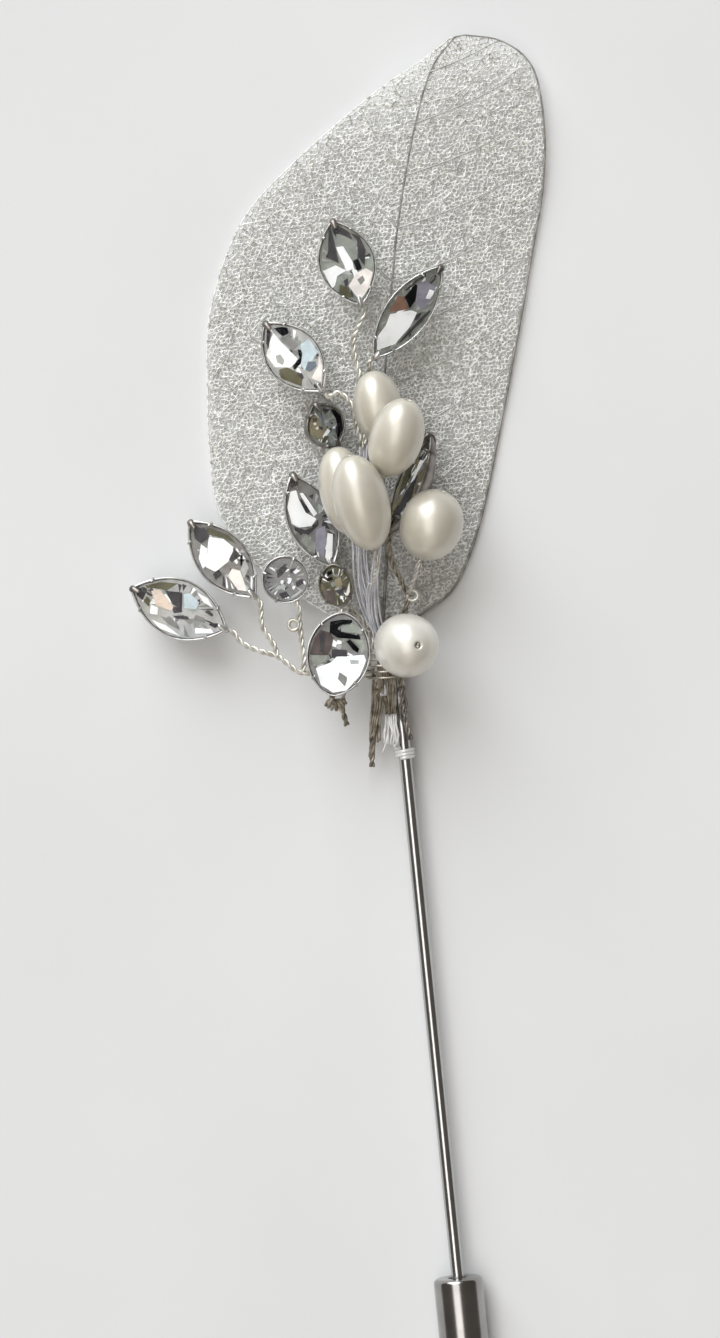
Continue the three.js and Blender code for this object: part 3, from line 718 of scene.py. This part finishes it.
def circle_middles(corners):
    """The centres of the circles through each triangle's corners."""
    a, b, c = corners[:, 0], corners[:, 1], corners[:, 2]
    ab, ac = b - a, c - a
    cross = 2 * (ab[:, 0] * ac[:, 1] - ab[:, 1] * ac[:, 0])
    cross = np.where(np.abs(cross) < 1e-9, 1e-9, cross)
    ab2, ac2 = (ab ** 2).sum(1), (ac ** 2).sum(1)
    x = (ac[:, 1] * ab2 - ab[:, 1] * ac2) / cross
    y = (ab[:, 0] * ac2 - ac[:, 0] * ab2) / cross
    return a + np.stack([x, y], 1)


def threads(segments, widths, height, lift):
    """A closed three-sided bar along each segment, with its ridge on top."""
    p, q = segments[:, 0], segments[:, 1]
    ahead = q - p
    side = np.cross(ahead, UP)
    side /= np.maximum(np.linalg.norm(side, axis=1), 1e-9)[:, None]
    half = side * (widths / 2)[:, None]
    low, high = UP * lift, UP * (lift + height)
    corners = [p - half + low, p + half + low, p + high, q - half + low, q + half + low, q + high]
    points = np.stack(corners, 1).reshape(-1, 3)
    pattern = [[0, 1, 4, 3], [1, 2, 5, 4], [2, 0, 3, 5], [0, 2, 1], [3, 4, 5]]
    starts = range(0, len(points), 6)
    return points, [[start + corner for corner in face] for start in starts for face in pattern]


def build_leaf(look, dark, faint):
    rng = random.Random(SEED)
    tree = blade_tree()
    fine = net_segments(tree, FINE_CELL, rng, FINE_GAPS)
    coarse = net_segments(tree, COARSE_CELL, rng)

    def add(name, shape, paint=look, **options):
        add_piece(f"leaf_{name}", *shape, paint, "silvered_leaf", **options)

    widths = np.array([rng.uniform(*FINE_WIDTHS) for _ in fine])
    middle_x = fine[:, :, 0].mean(1)
    third = np.digitize(middle_x, np.quantile(middle_x, [1 / 3, 2 / 3]))
    for number in range(3):
        shape = threads(fine[third == number], widths[third == number], FINE_HEIGHT, FINE_LIFT)
        add(f"net_{number + 1}", shape, stands_for=["leaf"], smooth=False)
    widths = np.full(len(coarse), COARSE_WIDTH)
    add("coarse_net", threads(coarse, widths, COARSE_HEIGHT, COARSE_LIFT), smooth=False)

    veins = []
    across = np.linspace(0, 1, 24)
    for side in ("left", "right"):
        for along in SIDE_VEIN_PLACES:
            path = blade_points(side, along, across) + UP * SIDE_VEIN_LIFT
            veins.append(tube(path, np.linspace(*SIDE_VEIN_RADII, len(path)), 6))
    add("side_veins", join_parts(veins), faint)

    share = np.linspace(0, 1, 90)
    rib = blade_points("left", share, 0) + UP * VEIN_LIFT
    add("midrib", tube(rib, 0.2 - 0.12 * share ** 0.6), dark)
    # The right margin takes the dark vein look as painted shade along its curled edge
    for side, paint in (("left", look), ("right", dark)):
        edge = blade_points(side, np.linspace(0, 1, 160), 1) + UP * VEIN_LIFT
        path = np.vstack([edge, rib[-1:]])
        add(f"{side}_margin", tube(path, np.linspace(*MARGIN_RADII[side], len(path))), paint)
    path = catmull_rom(STALK)
    add("stalk", tube(path, np.linspace(*STALK_RADII, len(path)), 12), dark)


# Stones and settings

def place_all(item, points):
    """Points of a stone's or a pearl's own frame, whose X axis runs along its heading."""
    placed = Matrix.Translation(item.at)
    for degrees, axis in ((item.heading, "Z"), (-item.pitch, "Y"), (item.roll, "X")):
        placed = placed @ Matrix.Rotation(math.radians(degrees), 4, axis)
    matrix = np.array(placed)
    return np.asarray(points, float) @ matrix[:3, :3].T + matrix[:3, 3]


def add_on(item, name, shape, *details, **options):
    """A piece whose shape is in a stone's or a pearl's own frame."""
    points, faces = shape
    add_piece(name, place_all(item, points), faces, *details, **options)


def outline(length, width, cut, height, count, turn=0.0):
    """A pointed, oval or round ring at one height."""
    x, y = rim(2 * math.pi * (np.arange(count) + turn) / count, cut)
    return np.stack([length / 2 * x, width / 2 * y, np.full(count, height)], -1)


def inside_of(stone):
    """Length and width inside a setting."""
    tip = SETTING_TIP_WALL if stone.cut == MARQUISE else SETTING_WALL
    return stone.size[0] - 2 * tip, stone.size[1] - 2 * SETTING_WALL


def glass_size(stone):
    return [side - GLASS_CLEARANCE for side in inside_of(stone)]


def stone_mesh(stone):
    """A cut stone with a flat back: a thin girdle, crown facets and a table."""
    length, width = glass_size(stone)
    crown = CROWN_SHARE * stone.size[1]
    rings = [
        outline(length, width, stone.cut, -GIRDLE, SIDES),
        outline(length, width, stone.cut, GIRDLE, SIDES),
        outline(TABLE_SHARE * length, TABLE_SHARE * width, stone.cut, crown, SIDES, 0.5),
    ]
    faces = [list(range(SIDES))[::-1], [2 * SIDES + i for i in range(SIDES)]]
    for i in range(SIDES):
        j = (i + 1) % SIDES
        faces.append([i, j, SIDES + j, SIDES + i])
        faces.append([SIDES + i, SIDES + j, 2 * SIDES + i])
        faces.append([SIDES + j, 2 * SIDES + j, 2 * SIDES + i])
    return np.vstack(rings), faces


def on_back(stone, share):
    """The place on a stone's foil for shares of its half length and half width."""
    length, width = glass_size(stone)
    return [share[0] * length / 2, share[1] * width / 2, FOIL_TOP]


def shard(rng):
    """The corners of a small four-sided facet anywhere on the back, which paints a small glint."""
    angle, reach = rng.uniform(0, 2 * math.pi), 0.8 * math.sqrt(rng.random())
    middle = np.array([0.9 * reach * math.cos(angle), 0.75 * reach * math.sin(angle)])
    start = rng.uniform(0, math.pi)
    corners = []
    for quarter in range(4):
        turn = start + (quarter + rng.uniform(-0.25, 0.25)) * math.pi / 2
        size = rng.uniform(*SHARD_SIZES)
        corners.append(tuple(middle + [0.7 * size * math.cos(turn), size * math.sin(turn)]))
    return corners


def slab(top):
    """A closed sheet with a given upper face."""
    count = len(top)
    low = [[x, y, z - FACET_THICKNESS] for x, y, z in top]
    faces = [list(range(count)), [2 * count - 1 - i for i in range(count)]]
    faces += [[i, count + i, count + (i + 1) % count, (i + 1) % count] for i in range(count)]
    return np.array(top + low), faces


def streak(stone, rng):
    """The corners of a thin sliver near the rim that points at the stone's middle, which paints a
    reflected streak.
    """
    edge = np.array(rim(rng.uniform(0, 2 * math.pi), stone.cut))
    across = np.array([-edge[1], edge[0]]) * rng.uniform(*STREAK_WIDTHS)
    outer, inner = edge * rng.uniform(*STREAK_OUTER_ENDS), edge * rng.uniform(*STREAK_INNER_ENDS)
    return [tuple(outer + across), tuple(inner), tuple(outer - across)]


def facets_of(number):
    """A stone's own tone, and its facets as pairs of a tone and corners."""
    own_tone, *rows = FACETS[number - 1].split("\n")
    facets = []
    for row in rows:
        tone, *corners = row.split()
        shares = [tuple(int(share) / 100 for share in corner.split(",")) for corner in corners]
        facets.append((tone, shares))
    return own_tone, facets


def foil_sheet(stone):
    """The flat foil under the facets, in rings so that it follows the stone's outline."""
    rings = []
    for sink in (FOIL_DROP, FOIL_DROP + FOIL_THICKNESS):
        edge = np.stack(rim(circle(2 * SIDES), stone.cut), -1)
        for share in FOIL_RINGS:
            rings.append(np.array([on_back(stone, place) for place in share * edge]) - UP * sink)
    count = len(FOIL_RINGS)
    return skin_rings(rings[count:] + rings[:count][::-1])


def back_meshes(stone, number, rng):
    """The foil and the facets above it, whose tones are painted reflections and glints, joined tone
    by tone.
    """
    own_tone, facets = facets_of(number)
    tones = {own_tone: [foil_sheet(stone)]}
    small = [(rng.choice((own_tone, *SHARD_TONES)), shard(rng)) for _ in range(SHARDS)]
    small += [(rng.choice(STREAK_TONES), streak(stone, rng)) for _ in range(STREAKS)]
    for layer, (tone, corners) in enumerate(small + facets):
        top = [on_back(stone, corner) for corner in corners]
        lifted = [[x, y, z + LAYER_STEP * layer] for x, y, z in top]
        tones.setdefault(tone, []).append(slab(lifted[::winding(corners)]))
    return {tone: join_parts(parts) for tone, parts in tones.items()}


def winding(corners):
    """1 if the corners run counter-clockwise, else -1."""
    area = sum(a[0] * b[1] - b[0] * a[1] for a, b in zip(corners, corners[1:] + corners[:1]))
    return 1 if area > 0 else -1


def tip_claw(stone, end):
    """A broad prong folded over one pointed tip of a marquise."""
    reach = stone.size[0] / 2 * end
    path = catmull_rom([(reach - step * end, 0, height) for step, height in TIP_CLAW_PATH], 5)
    return tube(path, np.interp(np.linspace(0, 1, len(path)), *TIP_CLAW_RADII), 10, 0.6)


def claw(stone, degrees):
    """A prong that rises outside the cup and bends in over the stone's edge."""
    x, y = rim(math.radians(degrees), stone.cut)
    edge = np.array([stone.size[0] / 2 * x, stone.size[1] / 2 * y, 0.0])
    inward = np.array([0.0, -np.sign(y), 0.0])
    if stone.cut != MARQUISE:
        inward = -edge / np.linalg.norm(edge)
    path = catmull_rom([edge + inward * step + UP * height for step, height in CLAW_PATH], 5)
    return tube(path, np.interp(np.linspace(0, 1, len(path)), *CLAW_RADII))


def setting_mesh(stone):
    """The cup round a stone, with its claws. Its rings run up the outside and down the inside."""
    depth = PAVILION_SHARE * stone.size[1] + PAVILION_DROP
    outside = [(0.42, 0, -depth), (0.55, 0, 0.08 - depth), (0.86, 0, -0.55 * depth),
               (1, 0.05, -0.25), (1, 0, 0), (1, 0.08, RIM_HEIGHT)]
    inside = [(1, 0, RIM_HEIGHT - 0.02), (1, 0.06, -0.12), (0.8, 0, 0.12 - 0.6 * depth),
              (0.4, 0, 0.24 - depth)]
    rings = []
    for (length, width), rows in ((stone.size, outside), (inside_of(stone), inside)):
        for share, less, height in rows:
            rings.append(outline(share * length - less, share * width - less, stone.cut, height,
                                 SETTING_SIDES))
    claws = [claw(stone, angle) for angle in CLAW_ANGLES]
    if stone.cut == MARQUISE:
        claws.append(tip_claw(stone, -1))
    return join_parts([skin_rings(rings)] + claws)


def build_stones(glass, silver, shaded_metal):
    rng = random.Random(SEED + 3)
    reflection_foils = {tone: reflection_foil_look(tone, colour) for tone, colour in TONES.items()}
    for number, stone in enumerate(STONES, 1):
        name, setting = f"stone_{number}", f"setting_{number}"
        add_on(stone, f"{name}_glass", stone_mesh(stone), glass, "cut_glass", [name], smooth=False)
        for tone, shape in back_meshes(stone, number, rng).items():
            add_on(stone, f"{name}_back_{tone}", shape, reflection_foils[tone], "cut_glass", smooth=False)
        metal = shaded_metal if number in DARK_SETTINGS else silver
        add_on(stone, f"{setting}_cup", setting_mesh(stone), metal, "setting_silver", [setting])
        if stone.cut == MARQUISE:
            # The outer tip claw is darkened silver, as painted shade
            tip = tip_claw(stone, 1)
            add_on(stone, f"{setting}_tip", tip, shaded_metal, "setting_silver", [setting])


# Pearls

def pearl_mesh(pearl, rng):
    """A drilled pearl, slightly uneven, with a bore that runs right through it."""
    start = math.asin(BORE_RADIUS / pearl.across)
    lumps = [
        (rng.uniform(0.6, 1.4), rng.uniform(0, 6.28), rng.randint(1, 3)) for _ in range(PEARL_LUMPS)
    ]
    turn = circle(PEARL_SIDES)

    def ring(x, radius):
        return np.stack([np.full(PEARL_SIDES, x), radius * np.cos(turn), radius * np.sin(turn)], -1)

    rings = []
    for angle in np.linspace(start, math.pi - start, PEARL_RINGS):
        grow = 1 + sum(
            LUMP_HEIGHT * size * np.sin(count * turn + phase)
            * math.sin(angle) ** 2 * math.cos(size * angle + phase)
            for size, phase, count in lumps
        )
        rings.append(ring(-pearl.along * math.cos(angle), pearl.across * math.sin(angle) * grow))
    for share in (0.9, 0.0, -0.9):
        rings.append(ring(share * pearl.along * math.cos(start), BORE_SHARE * BORE_RADIUS))
    return skin_rings(rings, closed=True)


def build_pearls():
    rng = random.Random(SEED + 1)
    ivory = pearl_look("ivory_pearl", (0.59, 0.545, 0.45), (0.69, 0.65, 0.55))
    # The sixth pearl gets a lighter copy of the look: partly a whiter pearl, partly painted light
    # on its strongly lit top
    white = pearl_look("white_and_lit_pearl", (0.72, 0.68, 0.59), (0.84, 0.81, 0.74))
    for number, pearl in enumerate(PEARLS, 1):
        look = white if number == len(PEARLS) else ivory
        name = f"pearl_{number}"
        add_on(pearl, f"{name}_nacre", pearl_mesh(pearl, rng), look, "pearl", [name])


# Wires

def stone_end(number):
    """A stem's start under the inner tip of a setting, and the point where it is clear of it."""
    stone = STONES[number - 1]
    reach = stone.size[0] / 2
    inner = [(-(reach - STEM_TUCK), 0, -STEM_DROP), (-(reach + SEAT + STEM_RADIUS), 0, -STEM_DROP)]
    return [tuple(place) for place in place_all(stone, inner)]


def pearl_run(number):
    """The wire's way through a pearl's bore."""
    pearl = PEARLS[number - 1]
    places = [(share * pearl.along, 0, 0) for share in (0.97, 0, -1, -1.25)]
    return [tuple(place) for place in place_all(pearl, places)]


def stem(*places):
    return twisted_pair(catmull_rom(places), STEM_RADIUS)


def pearl_wire(number, *places):
    return twisted_pair(catmull_rom(pearl_run(number) + list(places)), PEARL_WIRE_RADIUS)


def eyelet(place):
    """A small ring that a wire makes where its strands are twisted together."""
    angles = circle(28)
    rings = []
    for out in np.stack([np.cos(angles), np.sin(angles), 0 * angles], -1):
        middle = place + EYELET_RADIUS * out
        rings.append(middle + EYELET_WIRE * round_about(circle(WIRE_SIDES), out, UP))
    return skin_rings(rings, closed=True)


def strands(points, radius, count, rng, ragged=0):
    """Thin wires side by side that wander, and that may be cut shorter at random."""
    path = resample(catmull_rom(points), STRAND_STEP)
    _, side, other = frames_along(path)
    along = np.linspace(0, 1, len(path))
    parts = []
    for number in range(count):
        spread = radius * (2 * number / (count - 1) - 1)
        sway = STRAND_SWAY * np.sin(2 * math.pi * (rng.uniform(0.7, 1.6) * along + rng.random()))
        lift = STRAND_LIFT * np.sin(2 * math.pi * (rng.uniform(0.5, 1.2) * along + rng.random()))
        wandering = path + (spread + sway)[:, None] * side + lift[:, None] * other
        parts.append(tube(wandering[:len(path) - rng.randint(0, ragged)], STRAND_RADIUS))
    return join_parts(parts)


def coil(points, reach, turns):
    """A thin wire wound round a short curve, widest in the middle."""
    path = resample(catmull_rom(points), COIL_STEP)
    _, side, other = frames_along(path)
    share = np.linspace(0, 1, len(path))
    swing = (reach * (0.45 + 0.55 * np.sin(math.pi * share)))[:, None]
    return tube(path + swing * round_about(2 * math.pi * turns * share, side, other), COIL_WIRE)


def pin_wrap(*lead):
    """The end of a wire that winds round the pin."""
    turns = np.linspace(0, WRAP_TURNS, WRAP_TURNS * 24 + 1)
    angle = np.radians(WRAP_FIRST_ANGLE + 360 * turns)
    winding = np.stack([
        WRAP_REACH * np.cos(angle), WRAP_TOP - WRAP_PITCH * turns,
        PIN_AXIS_HEIGHT + WRAP_REACH * np.sin(angle),
    ], -1)
    return tube(np.vstack([catmull_rom([*lead, winding[0]]), winding[1:]]), WRAP_RADIUS)


def build_wires(metals):
    rng = random.Random(SEED + 2)

    def add(wire, run, metal, *parts):
        add_piece(f"{wire}_{run}", *join_parts(parts), metals[metal], "stem_wire", [wire])

    fork = (-11.5, 5.1, 3.9)
    joint = (-9.2, 3.2, 3.9)
    foot = (-2.0, 1.0, 2.9)
    add("crystal_wire_1", "run", "stem_silver",
        stem(*stone_end(1), (-14.9, 6.85, 3.9), (-13.4, 5.9, 3.9), fork, joint, (-7.6, 3.6, 3.9),
             (-6.0, 4.9, 3.8), (-4.4, 6.5, 3.7), (-3.2, 7.1, 3.5), (-2.3, 6.2, 3.05),
             (-2.0, 4.8, 2.9), foot),
        stem(*stone_end(2), (-12.7, 8.3, 4.2), (-11.7, 6.2, 4.0), fork),
        stem(*stone_end(8), (-9.0, 8.7, 4.6), (-9.0, 6.4, 4.2), (-8.95, 4.4, 4.0), joint),
        eyelet((-9.6, 8.0, 4.5)))
    add("crystal_wire_1", "tail", "taupe_wire",
        stem(foot, (-2.4, -0.6, 2.95), (-2.8, -2.0, 3.0), (-3.1, -4.2, 3.0), (-3.35, -6.6, 3.0)),
        strands([(-1.9, 3.0, 3.0), foot, (-2.2, -0.9, 3.1), (-2.6, -2.4, 3.3), (-2.95, -4.6, 3.2)],
                0.5, 7, rng, 4),
        strands([(-1.9, 3.0, 2.8), foot, (-2.3, -0.9, 2.8), (-2.7, -2.6, 2.9), (-3.25, -6.2, 2.9)],
                BUNDLE, 5, rng, 4))

    top = (-0.9, 25.0, 2.85)
    fork = (-1.2, -1.6, 2.45)
    add("crystal_wire_2", "run", "stem_silver",
        stem(*stone_end(4), (-0.9, 35.5, 4.1), (-1.0, 33.8, 3.7), (-0.7, 31.6, 3.3),
             (-0.6, 29.0, 2.95), top),
        stem(*stone_end(5), (0.2, 31.6, 3.6), (-0.5, 29.6, 3.0)),
        stem(*stone_end(3), (-2.9, 30.2, 4.4), (-1.75, 28.8, 4.0), (-1.5, 26.6, 3.4),
             (-1.1, 24.6, 2.9)),
        stem(*stone_end(9), (-2.6, 22.6, 3.1), (-1.6, 20.5, 2.85)))
    add("crystal_wire_2", "trunk", "strand_silver",
        strands([top, (-1.6, 20.5, 2.85), (-2.4, 15.5, 2.85), (-2.4, 11.7, 2.85), (-1.9, 8.6, 2.6),
                 (-1.45, 6.6, 2.3), (-1.3, 4.8, 2.25), (-1.3, 0.5, 2.25)], BUNDLE, 4, rng))
    add("crystal_wire_2", "stub", "taupe_wire",
        strands([(-1.4, 4.6, 4.2), (-1.5, 2.0, 4.3), (-1.3, -0.2, 3.6), fork], BUNDLE, 5, rng))
    add("crystal_wire_2", "tail", "white_silver",
        strands([fork, (-1.6, -3.4, 2.75), (-2.2, -5.4, 2.95)], 0.26, 4, rng, 3))

    joint = (-3.9, 9.1, 3.1)
    bend = (-4.0, 7.3, 4.6)
    tail = (-5.7, -0.7, 4.9)
    add("crystal_wire_3", "run", "stem_silver",
        stem(*stone_end(6), (-4.8, 10.9, 3.4), joint, (-3.1, 8.2, 2.7), (-2.5, 7.2, 2.3),
             (-2.2, 5.6, 2.0), (-2.2, 2.5, 2.0), (-2.2, 0.0, 2.0)),
        stem(tail, (-5.4, 1.0, 4.95), (-4.6, 4.6, 4.95), bend, joint),
        stem(*stone_end(11), (-4.6, 7.9, 5.2), bend))
    add("crystal_wire_3", "tail", "taupe_wire",
        stem((-5.4, -2.3, 4.5), tail),
        stem(*stone_end(7), (-6.3, -0.1, 7.7), (-5.9, -0.5, 6.3), tail),
        coil([(-7.15, 0.1, 7.6), (-6.25, -0.2, 7.5), (-5.35, 0.1, 7.4)], 0.5, 6))

    top = (-0.4, 16.6, 6.3)
    joint = (-1.5, 9.0, 3.75)
    fork = (-0.9, -1.7, 3.6)
    tail = (-0.95, -4.7, 3.7)
    add("pearl_wire_1", "run", "stem_silver", pearl_wire(2, (-0.3, 18.4, 7.6), top))
    add("pearl_wire_1", "trunk", "strand_silver",
        strands([top, (-0.62, 14.6, 5.1), (-1.3, 11.6, 4.4), joint, (-1.4, 7.3, 3.45),
                 (-0.85, 5.4, 3.25), (-0.85, 0.5, 3.25)], BUNDLE, 4, rng),
        strands([*pearl_run(1), (0.3, 22.2, 5.4), (-0.5, 19.5, 5.0), (-1.5, 17.0, 4.7),
                 (-2.0, 14.8, 4.6), (-2.1, 11.7, 4.2), joint], 0.2, 2, rng))
    add("pearl_wire_1", "stub", "taupe_wire",
        strands([(-0.5, 4.6, 4.4), (-0.6, 2.0, 4.4), (-0.75, -0.2, 4.0), fork], BUNDLE, 5, rng))
    add("pearl_wire_1", "tail", "white_silver",
        strands([fork, (-0.8, -3.4, 3.75), tail], 0.3, 4, rng),
        pin_wrap(tail, (-0.85, -4.9, 3.45)))

    top = (-1.5, 11.2, 6.8)
    joint = (-1.65, 6.4, 4.15)
    add("pearl_wire_2", "run", "stem_silver", pearl_wire(4, (-1.2, 11.9, 8.6), top))
    add("pearl_wire_2", "trunk", "strand_silver",
        strands([top, (-1.75, 10.2, 5.4), (-1.9, 8.2, 4.55), joint, (-1.45, 4.8, 4.0),
                 (-1.45, 2.5, 4.0), (-1.45, 0.2, 4.0)], BUNDLE, 4, rng),
        strands([*pearl_run(3), (-2.9, 13.4, 5.7), (-3.0, 11.7, 5.1), (-2.75, 9.4, 4.7),
                 (-2.2, 7.5, 4.25), joint], 0.2, 2, rng))

    joint = (1.85, 9.9, 4.0)
    foot = (0.3, 0.9, 3.7)
    tail = [foot, (0.33, -0.4, 3.8), (0.3, -1.8, 3.85), (0.5, -3.2, 3.85), (0.66, -4.3, 3.75)]
    add("mixed_wire", "run", "stem_silver",
        pearl_wire(5, (2.5, 11.2, 5.7), joint),
        pearl_wire(6, (0.2, 6.4, 4.7), (1.0, 8.0, 4.1)),
        eyelet((2.3, 9.7, 4.0)))
    add("mixed_wire", "trunk", "taupe_wire",
        stem(joint, (1.5, 8.5, 3.85), (0.8, 6.9, 3.75), (0.3, 5.2, 3.7), foot),
        stem(*stone_end(10), (0.6, 13.2, 4.3), (1.3, 11.3, 4.0), joint))
    # This tail takes the darkened silver, as painted shade beside the pin
    add("mixed_wire", "tail", "shade_darkened_silver", stem(*tail), strands(tail[:4], 0.3, 4, rng, 3))


def build_binding(look):
    """The thin wire wound round the whole bundle on a rounded square."""
    share = np.linspace(0, 1, BINDING_TURNS * 40 + 1)
    angle = 2 * math.pi * BINDING_TURNS * share

    def reach(value):
        return np.sign(value) * np.abs(value) ** (2 / BINDING_SQUARENESS)

    path = np.stack([
        BINDING_CENTRE[0] + BINDING_HALF_SIZE[0] * reach(np.cos(angle)),
        BINDING_START + (BINDING_END - BINDING_START) * share,
        BINDING_CENTRE[1] + BINDING_HALF_SIZE[1] * reach(np.sin(angle)),
    ], -1)
    add_piece("binding_wire_coil", *tube(path, BINDING_RADIUS), look, "binding_wire",
              ["binding_wire"])


# Pin and guard

def rounded(profile, steps):
    """Rounds each marked corner of a profile: a marked point is (radius, distance, rounding)."""
    found = []
    for number, corner in enumerate(profile):
        if len(corner) == 2:
            found.append(corner)
            continue
        here = np.array(corner[:2])
        before = np.array(profile[number - 1][:2])
        after = np.array(profile[(number + 1) % len(profile)][:2])
        start = here + (before - here) / np.linalg.norm(before - here) * corner[2]
        end = here + (after - here) / np.linalg.norm(after - here) * corner[2]
        for t in np.linspace(0, 1, steps + 1):
            found.append(tuple((1 - t) ** 2 * start + 2 * t * (1 - t) * here + t ** 2 * end))
    return found


def build_pin(look):
    profile = [(0.01, PIN_POINT), (PIN_TIP_RADIUS, PIN_POINT + 0.2)]
    for share in np.linspace(0.1, 1, 10):
        grow = math.sin(math.pi / 2 * share)
        radius = PIN_TIP_RADIUS + (PIN_RADIUS - PIN_TIP_RADIUS) * grow
        profile.append((radius, PIN_POINT + PIN_TAPER * share))
    for share, below in ((1, 0.4), (0.9, 0.15), (0.5, 0)):
        profile.append((share * PIN_RADIUS, PIN_TOP - below))
    add_piece("pin_shaft", *lathe(profile, 40), look, "pin_steel", ["pin"])


def build_guard(metal, nylon):
    mouth = PIN_RADIUS + MOUTH_CLEARANCE
    inner = GUARD_RADIUS - GUARD_WALL
    lip = GUARD_MOUTH - GUARD_LIP
    floor = GUARD_END + GUARD_FLOOR
    profile = rounded([
        (0.02, GUARD_END), (GUARD_RADIUS, GUARD_END, GUARD_END_ROUNDING),
        (GUARD_RADIUS, GUARD_MOUTH, GUARD_SHOULDER), (mouth, GUARD_MOUTH, GUARD_LIP_ROUNDING),
        (mouth, lip), (inner, lip), (inner, floor), (0.02, floor),
    ], 8)
    add_piece("guard_cap_shell", *lathe(profile, 96), metal, "guard_metal", ["guard_cap"], "guard")
    top = GUARD_MOUTH - GRIP_DEPTH
    bottom = top - GRIP_LENGTH
    inner = PIN_RADIUS + SEAT
    outer = inner + GRIP_WALL
    corners = [(inner, bottom), (outer, bottom), (outer, top), (inner, top)]
    profile = rounded([(*corner, GRIP_ROUNDING) for corner in corners], 4)
    add_piece("guard_grip_bush", *lathe(profile, 48, closed=True), nylon, "grip_nylon",
              ["guard_grip"], "guard")


# Floor, light and camera

def build_floor():
    look = material("pale_floor", Roughness=0.8, Specular_IOR_Level=0.25)
    colour_by(look, noise_on(look, 22.0, 4.0), (0.3, (0.755,) * 3), (0.7, (0.8,) * 3))
    mesh = bpy.data.meshes.new("floor")
    corners = ((-1, -1, 0), (1, -1, 0), (1, 1, 0), (-1, 1, 0))
    mesh.from_pydata([Vector(corner) * FLOOR_REACH for corner in corners], [], [[0, 1, 2, 3]])
    mesh.materials.append(look)
    floor = bpy.data.objects.new("floor", mesh)
    bpy.context.scene.collection.objects.link(floor)


def build_light():
    world = bpy.data.worlds.new("studio")
    world.use_nodes = True
    background = world.node_tree.nodes["Background"]
    background.inputs["Color"].default_value = WORLD_COLOUR
    background.inputs["Strength"].default_value = WORLD_STRENGTH
    bpy.context.scene.world = world
    for name, place, size, power, colour, tilt, turn in LIGHTS:
        data = bpy.data.lights.new(name, "AREA")
        data.shape = "RECTANGLE"
        data.size, data.size_y = size
        data.energy = power
        data.color = colour
        light = bpy.data.objects.new(name, data)
        light.location = place
        light.rotation_euler = Euler((math.radians(-tilt), 0, math.radians(turn)))
        bpy.context.scene.collection.objects.link(light)


def build_camera():
    data = bpy.data.cameras.new("camera")
    data.sensor_fit = "VERTICAL"
    data.sensor_height = SENSOR_HEIGHT
    data.lens = SENSOR_HEIGHT * CAMERA_HEIGHT / VIEW_HEIGHT
    data.clip_start = CAMERA_CLIP
    camera = bpy.data.objects.new("camera", data)
    camera.location = Vector((*CAMERA_OVER, CAMERA_HEIGHT)) * MM
    camera.rotation_euler = Euler((0, 0, math.radians(CAMERA_TURN)))
    bpy.context.scene.collection.objects.link(camera)
    bpy.context.scene.camera = camera


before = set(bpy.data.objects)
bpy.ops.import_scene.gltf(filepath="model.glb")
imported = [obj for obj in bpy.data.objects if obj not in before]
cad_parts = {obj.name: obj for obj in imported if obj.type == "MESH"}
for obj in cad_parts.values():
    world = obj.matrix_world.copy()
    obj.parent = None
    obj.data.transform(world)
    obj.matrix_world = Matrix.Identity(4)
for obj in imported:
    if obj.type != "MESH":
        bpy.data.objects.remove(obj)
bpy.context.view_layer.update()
bpy.context.scene.view_settings.view_transform = "Standard"

metals = {name: metal_look(name, *row) for name, row in METALS.items()}
build_leaf(
    leaf_look(),
    vein_look("dark_vein_and_shade", (0.16, 0.15, 0.13), (0.42, 0.41, 0.38)),
    vein_look("faint_vein", (0.4, 0.39, 0.36), (0.68, 0.67, 0.64)),
)
build_stones(glass_look(), metals["setting_silver"], metals["shade_darkened_silver"])
build_pearls()
build_wires(metals)
build_binding(metals["shaded_binding_silver"])
build_pin(metals["pin_steel"])
build_guard(metals["guard_metal"], nylon_look())
build_floor()
build_light()
build_camera()
